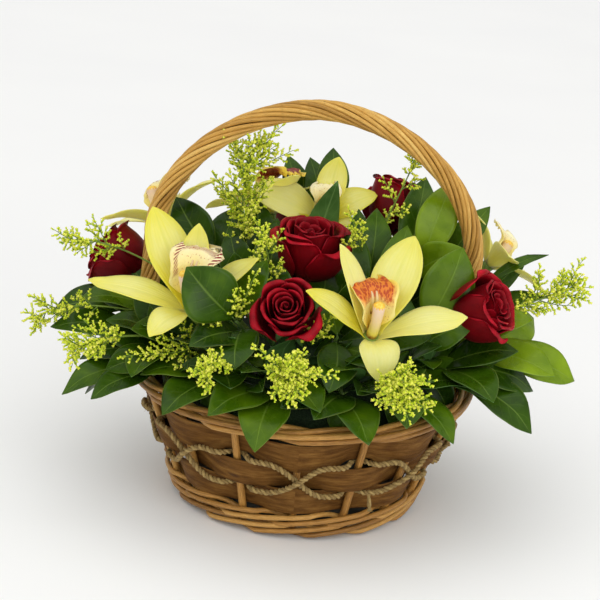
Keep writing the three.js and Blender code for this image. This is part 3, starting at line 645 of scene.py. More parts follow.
shape = newShape()
for level, shift in rim["rows"]:
    addWale(shape, rim, level, shift)
for strand in range(2):  # the pair of rods rolled along the top of the rim
    path = []
    for i in range(240):
        angle = wholeTurn * i / 240
        roll = rim["turns"] * angle + strand * pi
        out = wallRadius(96) + 0.4 + 2.3 * cos(roll)
        path.append(around(angle, out, rim["roll"] + 1.9 * sin(roll)))
    addRod(shape, path, rim["radius"], 9, 0, 0.4 + 0.2 * strand, True, skyward)
makePiece("rolledRim", shape, [willowRod], ["willow_frame"])

shape = newShape()
for k in range(basket["stakes"]):
    angle = wholeTurn * k / basket["stakes"]
    path = []
    for i in range(15):
        height = blend(9, 94, i / 14)
        path.append(around(angle + 0.004 * rough(k * 3, height / 30), wallRadius(height), height))
    thick = luck.uniform(2.35, 2.75)

    def stakeRadius(s, thick=thick, k=k):
        return thick * (1.06 - 0.12 * s) * (1 + 0.04 * rough(s * 7, k))
    addRod(shape, path, stakeRadius, 12, 0, luck.uniform(0.35, 0.8), False, around(angle + pi / 2, 1, 0))
makePiece("stakes", shape, [willowRod], ["willow_frame"])


def toCrossing(angle):  # 0 at a stake with the ropes behind it, 1 at a stake with them in front
    eighth = angle / (pi / 4)
    return 1 - abs(eighth - round(eighth)) * 2


def innerOff(angle):
    return through(basket["inner"], toCrossing(angle))


def chipBand(node, edgesAt, wave, seed):  # wave: 1 or -1, the side on which it passes the front stake
    shape = newShape()
    section = [(1, 0.06), (1, 0.3), (1, 0.5), (1, 0.7), (1, 0.94), (0.3, 1),
               (-0.3, 1), (-1, 0.94), (-1, 0.7), (-1, 0.3), (-1, 0.06), (-0.3, 0), (0.3, 0)]
    steps = 320

    def pointAt(i, j):
        face, share = section[j]
        angle = wholeTurn * i / steps
        low, high = edgesAt(angle)
        edge = 0.4 * rough(angle * 9, seed, share * 2) + 0.15 * rough(angle * 40, seed, share * 9)
        height = blend(low, high, share) + edge
        swing = cos(basket["stakes"] / 2 * angle)
        swing = copysign(abs(swing) ** 0.85, swing)
        belly = 0.6 * sin(pi * share) * abs(swing)
        out = wave * (basket["bandWave"] + belly) * swing + 0.18 * rough(angle * 14, seed + 5)
        return around(angle, wallRadius(height) + out + face * basket["bandThick"] / 2, height)

    def layAt(i, j):
        share = section[j % len(section)][1]
        return (i / steps * 6.9, share + seed)

    addGrid(shape, steps, len(section), pointAt, layAt, True)
    standFor(node, shape, [chipwood])


centre, half = basket["middle"], basket["half"]
chipBand("chip_band_lower", lambda a: (basket["outer"][0], centre - innerOff(a)), 1, 1)
chipBand("chip_band_middle", lambda a: (centre - half, centre + half), -1, 2)
chipBand("chip_band_upper", lambda a: (centre + innerOff(a), basket["outer"][1]), 1, 3)

rope = {"radius": 1.15, "apart": 1.05, "pitch": 7, "middle": 54.5, "swing": 13,
        "past": [(0, -5.4), (0.08, -4.6), (0.26, 4.6), (0.42, 5.7), (1, 5.9)]}


def ropePlace(angle, hand):  # hand: 1 for the first rope, -1 for the second
    toward = toCrossing(angle)
    out = through(rope["past"], toward)
    onTop = (round(angle / (pi / 4)) % 2 == 0) == (hand > 0)
    lifted = 4.2 * ease(0.62, 1, toward) if onTop else 0
    side = 1 if sin(4 * angle) >= 0 else -1
    fall = cos(pi * max(0, toward - 0.5))
    height = rope["middle"] + hand * side * rope["swing"] * fall
    return around(angle, wallRadius(height) + out + lifted, height)


def addTwist(shape, path, radius, apart, pitch, tones, loop=False):  # a strand for each tone
    lengths, whole = lengthsOf(path, loop)
    turns = round(whole / pitch) if loop else whole / pitch
    for ply, tone in enumerate(tones):
        strand = []
        for i, place in enumerate(path):
            along = heading(path, i, loop)
            across = skyward.cross(along)
            across = across.normalized() if across.length > 0.05 else Vector((1, 0, 0))
            above = along.cross(across)
            a = wholeTurn * (turns * lengths[i] / whole + ply / len(tones))
            strand.append(place + across * (apart * cos(a)) + above * (apart * sin(a)))
        addRod(shape, strand, radius, 7, 0, tone, loop)


def addFibres(shape, path, count, reach, length):  # loose hairs that stand off the rope
    for _ in range(count):
        start = luck.choice(path)
        toward = anyWay(luck).normalized()
        start = start + toward * reach
        bend = anyWay(luck)
        run = luck.uniform(0.5, 1) * length
        hair = [start + toward * (run * t * 0.4) + bend * (run * t * t * 0.5) for t in (0, 0.4, 0.7, 1)]
        addRod(shape, hair, lambda s: 0.14 * (1 - 0.6 * s), 3, 0, luck.uniform(0.6, 1))


for node, hand in (("rope_one", 1), ("rope_two", -1)):
    shape = newShape()
    path = [ropePlace(wholeTurn * i / 720, hand) for i in range(720)]
    addTwist(shape, path, rope["radius"], rope["apart"], rope["pitch"], (0.35, 0.65), True)
    addFibres(shape, path, 70, rope["radius"], 4)
    if hand < 0:  # the frayed end that shows in front, and the knot on the right
        end = ropePlace(radians(29), hand)
        tail = [end + Vector((0.2 * t, -1.2 * t, -1.5 * t)) * 2.2 for t in (0, 1, 2, 3)]
        addTwist(shape, tail, 1, 0.8, 6, (0.4, 0.7))
        addFibres(shape, tail[2:], 14, 0.4, 5)
    else:
        knot = ropePlace(radians(84), hand)
        angles = [wholeTurn * t / 16 for t in range(27)]
        coil = [knot + Vector((3.2 * cos(a) + 1, 2.2 * sin(a), 2.6 * sin(a + 0.9) + 0.6 * a))
                for a in angles]
        addTwist(shape, coil, 1.15, 1, 7, (0.35, 0.6))
        addFibres(shape, coil[-4:], 12, 0.6, 6)
    standFor(node, shape, [straw])
print("basket woven")


# the handle: rods twisted round a core

handle = {"halfWidth": 115.5, "spring": 190, "top": 290, "curve": 1.86, "legShare": 0.22, "rods": 11,
          "rodRadius": 1.52, "core": 3.9, "winding": 5.85, "twist": 25, "splay": 2.6, "steps": 220}


def handlePath(s):
    side = -1 if s < 0.5 else 1
    fromFoot = (s if s < 0.5 else 1 - s) / handle["legShare"]
    if fromFoot <= 1:
        x = blend(basket["rimRadius"] + 0.5, handle["halfWidth"], ease(0, 1, fromFoot))
        return Vector((side * x, 0, blend(basket["rimHeight"] - 7, handle["spring"], fromFoot)))
    angle = (s - 0.5) / (0.5 - handle["legShare"]) * pi / 2
    power = 2 / handle["curve"]
    x = copysign(abs(sin(angle)) ** power, angle) * handle["halfWidth"]
    z = handle["spring"] + abs(cos(angle)) ** power * (handle["top"] - handle["spring"])
    return Vector((x, 0, z))


def makeHandle():
    shape = newShape()
    steps = handle["steps"]
    middle = [handlePath(i / steps) for i in range(steps + 1)]
    front = Vector((0, -1, 0))
    for rod in range(handle["rods"] + 1):  # the last one is the core, given the darkest tone as painted shade in the gaps between the rods
        isCore = rod == handle["rods"]
        path = []
        for i, place in enumerate(middle):
            s = i / steps
            outward = front.cross(heading(middle, i))
            winding = handle["winding"] + handle["splay"] * (1 - ease(0, 0.05, min(s, 1 - s)))
            winding += 0.3 * rough(s * 16, rod * 3.1)
            a = handle["twist"] * s + wholeTurn * (rod + 0.2 * rough(s * 9, rod * 5)) / handle["rods"]
            if isCore:
                winding = 0
            path.append(place + outward * (winding * cos(a)) + front * (winding * sin(a)))

        def radius(s, rod=rod, thick=handle["core"] if isCore else handle["rodRadius"]):
            return thick * (1 + 0.07 * rough(s * 30, rod)) + 0.9 * max(0, rough(s * 26, rod * 11) - 0.35)
        # tone 0 makes the core the darkest rod: painted shade between the rods
        addRod(shape, path, radius, 12, 0, 0 if isCore else luck.uniform(0.25, 0.85))
    makePiece("twistedHandle", shape, [handleRod], ["handle"])


makeHandle()
print("handle twisted")


# what every stem shares

foam = {"heart": Vector((0, 0, 72)), "top": 117, "shoulder": 93, "steep": 0.62, "sink": 20}


def direction(azimuth, elevation):
    level = cos(radians(elevation))
    return Vector((level * sin(radians(azimuth)), -level * cos(radians(azimuth)),
                   sin(radians(elevation))))


def foamReach(toward):  # from the heart to the foam's side, or to its top where the way is steep
    level = hypot(toward.x, toward.y)
    if toward.z / max(level, 1e-6) > foam["steep"]:
        return (foam["top"] - 2 - foam["heart"].z) / toward.z
    return foam["shoulder"] / level


def stemCurve(place, arrive, leave):
    start = foam["heart"] + leave * (foamReach(leave) - foam["sink"])
    knee = foam["heart"] + leave * (foamReach(leave) + 6)
    return bezier(start, knee, place - arrive * ((place - start).length * 0.3), place)


def pathOf(curve, steps):
    return [curve(i / steps) for i in range(steps + 1)]


def addStem(shape, curve, radius):
    addRod(shape, pathOf(curve, 14), lambda s: radius * (1 - 0.25 * s), 8, 2)


def placerAt(place, facing, roll, size=1):  # sets a bloom's own x, y and z at its place
    across = skyward.cross(facing).normalized()
    above = facing.cross(across)
    turned = Matrix((across, above, facing)).transposed() @ Matrix.Rotation(radians(roll), 3, "Z")

    def placed(x, y, z):
        return turned @ Vector((x, y, z)) * size + place
    return placed


# leaves

leaf = {"thick": 0.6, "rows": 19, "cols": 11, "fold": 0.17, "wave": 0.06, "droop": 0.05, "twist": 16,
        "outline": [(0, 0.06), (0.07, 0.2), (0.2, 0.54), (0.36, 0.85), (0.52, 0.97),
                    (0.64, 0.92), (0.78, 0.72), (0.89, 0.43), (0.96, 0.18), (1, 0.02)]}


def addLeaf(shape, base, tip, halfWidth, faces, tilt, arch, tone):
    axis = tip - base
    length = axis.length
    axis.normalize()
    across = axis.cross(faces).normalized()
    across.rotate(Quaternion(axis, radians(tilt)))
    faceUp = across.cross(axis)
    phase = luck.uniform(0, wholeTurn)
    sway = luck.uniform(-0.04, 0.04) * length
    twist = radians(luck.uniform(-leaf["twist"], leaf["twist"]))
    arch = arch * luck.uniform(0.7, 1.4)

    def middleAt(u, v):
        width = halfWidth * through(leaf["outline"], u)
        run = 0.04 + 0.96 * u
        lift = 4 * arch * length * run * (1 - run) - leaf["droop"] * length * ease(0.7, 1, u)
        lift += leaf["fold"] * abs(v) ** 1.3 * width
        margin = v * v * ease(0, 0.2, u) * (1 - ease(0.85, 1, u))
        lift += leaf["wave"] * halfWidth * sin(phase + 8 * u + (2 if v > 0 else 0)) * margin
        turned = twist * (u - 0.3)
        level = v * width * cos(turned) + sway * sin(pi * u)
        return base + axis * (length * run) + across * level + faceUp * (lift + v * width * sin(turned))
    addSheet(shape, leaf["rows"], leaf["cols"], middleAt, leaf["thick"], tone, (1, 0))
    addRod(shape, [base, base + axis * (length * 0.03), middleAt(0.05, 0)], 0.75, 6, 2, 0.5)


leafPlaces = [(0, 0), (-1, 0.5), (1, 0.95), (-0.5, 1.5), (0.6, 2)]
lowPlaces = [(0.3, 2.9), (-1.2, 1.6), (1.5, 1.9), (-0.1, -0.9)]  # smaller leaves further down each stem


def addLeafySpray(shape, azimuth, elevation, reach, leaves, spread, length, width, hand, tone, tilt):
    rise = max(elevation, 26)
    aim = direction(azimuth, elevation)
    level = skyward.cross(aim).normalized()
    above = aim.cross(level)
    shoulder = foam["heart"] + direction(azimuth, elevation * 0.25 + rise * 0.75) * (reach - length * 0.97)
    arrive = (foam["heart"] + aim * reach - shoulder).normalized()
    curve = stemCurve(shoulder, arrive, direction(azimuth, rise))
    addStem(shape, curve, 1.5)
    for i, (sideSteps, upSteps) in enumerate(leafPlaces[:leaves] + lowPlaces):
        small = 0.72 if i >= leaves else 1
        sideways = level * tan(radians(sideSteps * spread * hand))
        leafAim = aim + sideways + above * tan(radians(upSteps * 13))
        base = curve(1 - 0.13 * min(i, 6)) - arrive
        toTip = foam["heart"] + leafAim.normalized() * (reach - 6 * i) - base
        leafLength = min(toTip.length, length * small * (1 - 0.04 * min(i, 4)))
        leafTone = tone + luck.uniform(-0.14, 0.14)
        addLeaf(shape, base, base + toTip.normalized() * leafLength, width / 2 * small,
                above + skyward * 0.6, sideSteps * 12 * hand + tilt, 0.1, leafTone)


def addRosette(shape, place, faces, tips, tones):
    crown = Vector(place)
    arrive = (crown - foam["heart"]).normalized()
    curve = stemCurve(crown, arrive, arrive)
    addStem(shape, curve, 1.5)
    for i, (x, y, z, width) in enumerate(tips):
        addLeaf(shape, curve(1 - 0.08 * i), Vector((x, y, z)), width / 2, direction(*faces), 0, 0.1,
                tones[i])


sprays = {  # azimuth, elevation, reach, leaves, spread, length, width, hand, tone, tilt
    "left_low": (-68, 4, 178, 5, 17, 62, 34, 1, 0.4, 0),
    "front_left": (-38, 11, 160, 5, 16, 60, 34, 1, 0.4, 0),
    "front": (-11, 8, 163, 5, 15, 64, 36, 1, 0.5, 0),
    "front_right": (17, 11.5, 160, 5, 14, 60, 33, 1, 0.4, 0),
    "right_front": (42, 8, 164, 5, 14, 60, 32, 1, 0.36, 0),
    "right_low": (64, 5, 192, 4, 13, 68, 37, -1, 0.36, 15),
    "right": (86, 9.5, 211, 4, 14, 70, 36, 1, 0.86, 35),
    "left": (-98, 12, 204, 4, 15, 68, 34, 1, 0.42, -30),
    "back_right": (132, 10, 184, 5, 28, 66, 34, 1, 0.45, 0),
    "back_left": (-140, 12, 184, 5, 28, 66, 34, 1, 0.45, 0),
}
rosettes = {  # crown, (azimuth, elevation) the leaves face, tips with a width each, tones
    "upper_right": ((77, 0, 179), (10, 35),
                    [(96, 20, 240, 30), (105, -22, 203, 28), (80, 46, 237, 28), (56, -18, 189, 26)],
                    (0.88, 0.78, 0.45, 0.4)),
    "upper_left": ((-71, 10, 168), (-25, 35),
                   [(-103, 20, 212, 32), (-56, 32, 207, 28), (-112, 15, 140, 30)], (0.24, 0.34, 0.3)),
    "centre_left": ((-50, -88, 160), (-22, 40),
                    [(-84, -98, 198, 42), (-33, -62, 197, 24), (-48, -122, 140, 34), (-78, -112, 150, 30)],
                    (0.38, 0.5, 0.35, 0.25)),
    "centre_right": ((20, -84, 152), (20, 45),
                     [(8, -66, 178, 24), (17, -122, 128, 30), (84, -84, 160, 30), (62, -110, 146, 28)],
                     (0.5, 0.35, 0.3, 0.45)),
    "top": ((8, 66, 190), (0, 20),
            [(10, 84, 243, 26), (-7, 76, 236, 24), (-24, 88, 234, 24)], (0.4, 0.35, 0.4)),
}

leafFinishes = [leafTop, leafUnder, leafStem]
for stems, add in ((sprays, addLeafySpray), (rosettes, addRosette)):
    for name, values in stems.items():
        shape = newShape()
        add(shape, *values)
        standFor("leaves_" + name, shape, leafFinishes)

inner = [(24, 20, 42), (38, 16, 42), (56, 12, 38), (76, 7, 34)]  # rings: elevation, number, length
shape = newShape()
for elevation, count, length in inner:
    for k in range(count):
        azimuth = 360 * (k + 0.5 * luck.random()) / count
        aim = direction(azimuth, elevation)
        base = foam["heart"] + aim * (foamReach(aim) - 4)
        lean = direction(azimuth + luck.uniform(-50, 50), elevation + luck.uniform(-25, 10))
        tip = base + (lean + aim * 0.4).normalized() * length
        addLeaf(shape, base, tip, length * 0.27, aim + skyward * 0.4, luck.uniform(-20, 20), 0.12,
                luck.uniform(0.1, 0.4))
outer = [  # base and tip, width, azimuth and elevation it faces, tone: they close the gaps between stems
    (81, -46, 148, 104, -36, 208, 40, 15, 30, 0.62), (78, -50, 136, 114, -62, 164, 26, 25, 45, 0.45),
    (52, -24, 150, 66, -4, 212, 28, 5, 25, 0.5), (40, -8, 160, 44, 14, 218, 26, 5, 25, 0.42),
    (60, -34, 150, 44, -40, 190, 24, 10, 30, 0.3), (-40, -4, 150, -62, 4, 196, 26, -15, 30, 0.3),
    (-24, -10, 150, -38, -6, 196, 24, -10, 30, 0.4), (96, -8, 140, 120, 4, 186, 26, 25, 35, 0.35),
    (28, -22, 150, 27, -4, 208, 28, 5, 20, 0.35), (10, -24, 140, 12, -8, 196, 26, 5, 20, 0.3),
    (32, -2, 150, 31, 14, 216, 24, 5, 30, 0.35), (-34, 6, 158, -44, 26, 214, 28, -10, 30, 0.3),
    (58, -6, 146, 58, 10, 196, 26, 10, 25, 0.4), (124, 18, 160, 172, 20, 193, 10, 60, 60, 0.4),
    (94, 24, 168, 128, 36, 220, 22, 15, 40, 0.5), (56, -54, 138, 68, -42, 172, 26, 10, 25, 0.3),
    (-92, -44, 124, -122, -34, 166, 26, -20, 20, 0.3), (-90, -50, 128, -112, -48, 152, 22, -20, 40, 0.35),
    (-12, 66, 106, -20, 122, 98, 32, 180, 60, 0.4), (14, 68, 108, 28, 122, 104, 30, 170, 60, 0.3),
    (0, 60, 112, 4, 108, 122, 28, 180, 50, 0.5), (40, 62, 108, 58, 110, 112, 28, 160, 55, 0.45),
    (-40, 60, 108, -54, 108, 114, 30, 200, 55, 0.35), (-30, -16, 150, -28, 2, 208, 26, -5, 20, 0.35),
    (-18, -66, 150, -24, -40, 188, 22, -5, 30, 0.3), (46, -50, 144, 34, -36, 184, 24, 5, 25, 0.3),
    (-108, -46, 106, -170, -64, 88, 26, -40, 60, 0.45), (-118, -10, 118, -184, -26, 124, 30, -40, 60, 0.4),
    (-112, -34, 112, -160, -46, 108, 28, -40, 60, 0.25), (-104, -58, 104, -146, -88, 96, 26, -30, 60, 0.35),
    (118, 18, 130, 176, 22, 160, 18, 60, 60, 0.4), (122, 30, 140, 160, 34, 186, 16, 40, 50, 0.45),
    (-92, -24, 112, -148, -40, 126, 30, -30, 45, 0.3), (-96, -44, 112, -138, -72, 112, 30, -30, 50, 0.4),
    (-98, 22, 116, -154, 12, 134, 30, -40, 40, 0.25), (-88, -40, 118, -120, -74, 144, 26, -30, 40, 0.5),
    (94, -26, 114, 146, -44, 122, 30, 40, 45, 0.5), (90, -48, 116, 126, -84, 118, 28, 40, 50, 0.35),
    (96, 24, 118, 150, 26, 136, 30, 30, 40, 0.3), (66, 18, 140, 98, -4, 176, 26, 20, 40, 0.35),
    (40, 6, 150, 58, -20, 190, 24, 15, 30, 0.4), (24, -30, 150, 34, -52, 186, 24, 10, 30, 0.35),
    (-44, -8, 150, -56, -30, 188, 26, -15, 30, 0.3), (48, 40, 160, 40, 34, 204, 24, 5, 25, 0.3),
]
for x, y, z, tipX, tipY, tipZ, width, azimuth, elevation, tone in outer:
    base, tip = Vector((x, y, z)), Vector((tipX, tipY, tipZ))
    addLeaf(shape, base, tip, width / 2, direction(azimuth, elevation), 0, 0.1, tone)
makePiece("leavesInside", shape, leafFinishes, [])
print("leaves set")


# roses

rose = {"petals": 19, "rows": 15, "cols": 17, "thick": 0.7, "inner": 1.5, "outer": 25,
        "lipHeight": [(1.6, 14.5), (5, 18.2), (12, 20.3), (20.5, 17.2), (28, 9.5)],
        "halfAngle": [(1.6, 165), (6, 108), (12, 72), (20, 56), (28, 49)],
        "spread": [(0, 0.4), (0.3, 0.8), (0.6, 1.02), (0.85, 1), (1, 0.8)]}


def addRose(shape, placed, seed):
    chance = random.Random(seed)
    for k in range(rose["petals"]):
        share = k / (rose["petals"] - 1)
        reach = blend(rose["inner"], rose["outer"], share ** 0.92)
        reach += chance.uniform(-0.8, 0.8) * min(1, 3 * share)
        spread = (reach / 27) ** 2
        lip = through(rose["lipHeight"], reach) + chance.uniform(-1.3, 1.1)
        half = radians(through(rose["halfAngle"], reach))
        middle = k * 2.4 + chance.uniform(-0.45, 0.45)
        curl = 0.6 + 4.4 * spread * chance.uniform(0.7, 1.3)
        foot = -21 + 2 * chance.random()
        radial = [(0, max(1.2, 0.3 * reach)), (0.3, 0.78 * reach), (0.6, 0.95 * reach), (0.84, reach - 0.2),
                  (0.93, reach + 0.35 * curl), (1, reach + curl)]
        height = [(0, foot), (0.3, blend(foot, lip, 0.3)), (0.6, blend(foot, lip, 0.63)), (0.84, lip - 1.9),
                  (0.93, lip), (1, lip - 0.6 * curl * spread - 0.15)]
        phase = chance.uniform(0, wholeTurn)

        def middleAt(u, v):
            s = min(1, u * (1 - (0.07 + 0.07 * spread) * v * v - 0.16 * v ** 6))
            rolled = 1 + 0.5 * sin(pi * min(1, abs(v) * 1.25)) * spread  # most beside the point
            radius = through(radial, s) + v * (0.5 + 0.045 * reach)
            flare = 5.4 * spread * max(0, abs(v) - 0.72) * ease(0.5, 1, u)
            radius += ease(0.84, 1, s) * (rolled - 1) * curl * 0.8 + flare
            radius += (0.35 + 0.75 * spread) * sin(phase + 4 * v + 3 * u) * u
            rise = through(height, s) - ease(0.88, 1, s) * (rolled - 1) * curl * 0.5
            rise += (0.65 * sin(phase + 6 * v) + 1.1 * spread * (1 - abs(v)) ** 2) * ease(0.7, 1, u)
            a = middle + v * half * through(rose["spread"], u)
            return placed(radius * cos(a), radius * sin(a), rise)
        # random per petal, and lower on the inner petals: painted shade in the rose's centre
        tone = 0.3 + 0.45 * chance.random() - 0.2 * (1 - share)
        addSheet(shape, rose["rows"], rose["cols"], middleAt, rose["thick"], tone)


def turnedAbout(placed, a):  # out, sideways and up from a bloom's axis
    def turned(out, sideways, rise):
        x = out * cos(a) - sideways * sin(a)
        return placed(x, out * sin(a) + sideways * cos(a), rise)
    return turned


def addRoseGreen(shape, placed, curve, leafTip):
    addStem(shape, curve, 2.3)
    cup = [(1.5, -37), (3.4, -35.5), (5.4, -32), (6.6, -28.5), (9, -25), (10.5, -22.6), (4, -22.8)]
    addTurned(shape, placed, cup, 16)
    for k in range(5):
        turned = turnedAbout(placed, wholeTurn * k / 5 + 0.2)

        def sepal(u, v):
            width = 4.6 * (1 - u) ** 0.8 + 0.25
            return turned(7.6 + 13.5 * u, v * width, -26.5 - 10.5 * u * u + 2 * u + 0.5 * v * v)
        addSheet(shape, 9, 5, sepal, 0.6, 0.5, (2, 2))
    if leafTip:
        addLeaf(shape, curve(0.72), Vector(leafTip), 13, Vector((0, 1, 0.2)), 0, 0.16, 0.35)


roses = {  # place, (azimuth, elevation) it faces, roll, size, leaf tip
    "front": ((-16, -98, 172), (-6, 38), 10, 0.85, None),
    "top": ((-3, -18, 190), (0, 82), 0, 1.06, (13, 14, 236)),
    "back_right": ((58, 54, 208), (140, 62), 30, 1, None),
    "right": ((117, -46, 166), (64, 32), 50, 1.02, None),
    "left": ((-142, 36, 155), (-100, 24), 140, 0.98, None),
    "back": ((-14, 108, 168), (184, 36), 0, 1, None),
}
for number, (name, (place, faces, roll, size, leafTip)) in enumerate(roses.items()):
    middle, facing = Vector(place), direction(*faces)
    placed = placerAt(middle, facing, roll, size)
    shape = newShape()
    addRose(shape, placed, 20 + number)
    standFor("rose_" + name + "_petals", shape, [rosePetal])
    base = middle - facing * (35 * size)
    shape = newShape()
    addRoseGreen(shape, placed, stemCurve(base, facing, (base - foam["heart"]).normalized()), leafTip)
    greens = [leafTop, leafUnder, roseGreen]
    pieceName = "rose" + name.title().replace("_", "") + "Green"
    makePiece(pieceName, shape, greens, ["rose_" + name + "_stem"])
print("roses opened")


# orchids

orchid = {"thick": 0.9, "rows": 24, "cols": 15, "cup": 0.34, "ripple": 0.07, "hook": 0.07, "twist": 14,
          "outline": [(0, 0.34), (0.1, 0.43), (0.25, 0.68), (0.42, 0.93), (0.56, 1),
                      (0.7, 0.92), (0.83, 0.7), (0.92, 0.42), (0.97, 0.2), (1, 0.04)],
          "lipRows": 34, "lipCols": 33,
          "lipOutline": [(0, 2.6), (0.12, 4.5), (0.28, 9), (0.42, 11.5), (0.54, 11),
                         (0.62, 12), (0.72, 15.5), (0.84, 17.5), (0.94, 16), (1, 11)]}


def addTepal(shape, placed, angle, length, halfWidth, opened, curl, chance, tone):
    turned = turnedAbout(placed, radians(angle))
    phase = chance.uniform(0, wholeTurn)
    sway = chance.uniform(-0.05, 0.05) * length
    twist = radians(chance.uniform(-orchid["twist"], orchid["twist"]))
    hook = chance.uniform(0.2, 1) * orchid["hook"] * length

    def middleAt(u, v):
        width = halfWidth * through(orchid["outline"], u)
        lean = radians(opened + curl * max(0, u - 0.15) ** 1.5)
        reach = length * u
        cup = v * v * width * orchid["cup"] * (1 - 0.3 * u)
        margin = v * v * sin(pi * u)
        cup += orchid["ripple"] * halfWidth * sin(phase + 7 * u + (3 if v > 0 else 0)) * margin
        cup += hook * ease(0.84, 1, u) - 0.6 * exp(-(v / 0.14) ** 2) * sin(pi * min(1, u * 1.1))
        cup += v * width * sin(twist * (u - 0.2))
        out = 3 + reach * sin(lean) - cup * cos(lean) * 0.8
        rise = reach * cos(lean) + cup * sin(lean)
        return turned(out, v * width + sway * u * u, rise)
    addSheet(shape, orchid["rows"], orchid["cols"], middleAt, orchid["thick"], tone)


def addLip(shape, placed, towards, folded, tone, chance):  # a trough with a folded front, and the column
    turned = turnedAbout(placed, radians(towards))
    phase = chance.uniform(0, wholeTurn)

    def middleAt(u, v):
        width = through(orchid["lipOutline"], u)
        fold = max(0, u - 0.58) / 0.42
        out = 3 + 13 * u + 14 * fold * folded
        rise = 5 + 40 * u - 20 * fold * fold * folded
        wall = v * v * width * 0.95 * (1 - fold)
        ruffled = ease(0.2, 0.5, u) * 0.5 + 0.5 * ease(0.55, 0.75, u)
        frill = ruffled * (abs(v) ** 3 + ease(0.88, 1, u) * 0.7) * folded
        rise += 2.3 * frill * sin(phase + 15 * v + 9 * u) + 3 * v * v * fold
        out += 1.5 * frill * cos(phase + 13 * v + 11 * u)
        rise += 1.4 * fold * exp(-(v / 0.2) ** 2) * sin(pi * fold)
        return turned(out - wall, v * width, rise)
    addSheet(shape, orchid["lipRows"], orchid["lipCols"], middleAt, orchid["thick"], tone)
    inward = turned(-1, 0, 0) - turned(0, 0, 0)
    for side in (-1, 1):  # the two ridges down the middle of the lip
        ridge = [middleAt(0.3 + 0.045 * i, side * 0.14) + inward * 0.9 for i in range(9)]
        addRod(shape, ridge, lambda s: 1.4 * sin(pi * (0.12 + 0.76 * s)), 7, 1, 0.5)
    column = pathOf(lambda s: turned(-1 - 3 * s + 5 * s * s, 0, 3.6 + 25 * s), 10)
    addRod(shape, column, lambda s: 4 - 1.6 * s + 1.9 * s * s, 12, 1, 0.5)
    capPlaced = placerAt(column[-1], (column[-1] - column[-2]).normalized(), 0)
    cap = [(2.6, -2.2), (4.1, -1.4), (4.3, -0.2), (3.6, 1.2), (2.2, 2.2), (0.5, 2.6)]
    addTurned(shape, capPlaced, cap, 14)


openTepals = [(90, 54, 12, 52, 22), (158, 52, 11.5, 56, 24), (22, 52, 11.5, 56, 24), (228, 50, 13, 54, 26),
              (312, 50, 13, 54, 26)]
orchids = {  # place, faces, roll, lip (direction, size, fold, tone) and the tepals
    "front_right": ((41, -101, 160), (20, 66), 0, (92, 1, 1, 0.5),  # angle, length, half width, open, curl
                    [(52, 74, 16, 42, 14), (124, 66, 10, 30, 10), (160, 57, 11, 48, 12),
                     (268, 30, 14, 62, 66), (352, 64, 12, 60, 16)]),
    "front_left": ((-80, -76, 160), (-34, 66), 0, (88, 1.1, 0.8, 0.12),
                   [(147, 76, 15, 42, 8), (197, 74, 12, 64, 16), (262, 38, 12, 60, 30),
                    (48, 56, 12, 54, 12), (108, 58, 11, 30, 10)]),
    "top_back": ((6, 36, 199), (0, 58), 0, (90, 0.68, 1, 0),
                 [(172, 55, 18, 60, 12), (80, 46, 11, 42, 12), (24, 42, 13, 54, 24),
                  (226, 36, 12, 62, 20), (314, 36, 12, 62, 20)]),
    "left_back": ((-112, 60, 179), (-118, 58), 250, (270, 1, 1, 0.1), openTepals),
    "back_left": ((-34, 60, 192), (-150, 64), 0, (110, 1, 1, 1), openTepals),
    "right_back": ((132, 42, 172), (104, 48), 0, (20, 0.8, 0.6, 0), openTepals),
}
for number, (name, (place, faces, roll, lip, tepals)) in enumerate(orchids.items()):
    chance = random.Random(50 + number)
    base, facing = Vector(place), direction(*faces)
    placed = placerAt(base, facing, roll)
    footing = base + facing * 3
    curve = stemCurve(footing, facing, (footing - foam["heart"]).normalized())
    shape = newShape()
    addRod(shape, pathOf(curve, 18), lambda s: 1.9 + 3.6 * max(0, 3 * s - 2) ** 2, 10, 1)
    for values in tepals:
        addTepal(shape, placed, *values, chance, chance.uniform(0.3, 0.85) if tepals != openTepals else 1)
    bloom = "orchid_" + name
    standFor(bloom + "_tepals", shape, [orchidTepal, goldStem])
    shape = newShape()
    towards, lipSize, folded, tone = lip
    addLip(shape, placerAt(base, facing, roll, lipSize), towards, folded, tone, chance)
    standFor(bloom + "_lip", shape, [orchidLip, orchidColumn, orchidCap])
print("orchids opened")


# goldenrod

gold = {"budLength": 2, "budRadius": 0.8, "apart": 1.9, "branch": 8, "sides": 6,
        "profile": [(0, 0.35), (0.35, 0.95), (0.7, 0.9), (1, 1.3), (0.8, 0.25)]}


def makeBud():
    bud = newShape()
    sides, profile = gold["sides"], gold["profile"]

    def pointAt(i, j):
        share, radius = profile[i]
        a = wholeTurn * j / sides
        star = (1.15 if j % 2 == 0 else 0.62) if i == 3 else 1  # the open end has points
        reach = radius * star * gold["budRadius"]
        return Vector((reach * cos(a), reach * sin(a), share * gold["budLength"]))
    addGrid(bud, len(profile), sides, pointAt, lambda i, j: (profile[i][0], 0))
    closeEnds(bud, 0, len(profile), sides, 0, (0, 0), (1, 0))
    return bud


bud = makeBud()


def addBud(shape, place, toward, size, tone):
    start = len(shape["points"])
    turned = toward.to_track_quat("Z", "Y").to_matrix() * size
    shape["points"].extend([turned @ p + place for p in bud["points"]])
    shape["faces"].extend([[start + c for c in face] for face in bud["faces"]])
    shape["laid"].extend(bud["laid"])
    shape["slots"].extend(bud["slots"])
    shape["tones"].extend([tone] * len(bud["points"]))


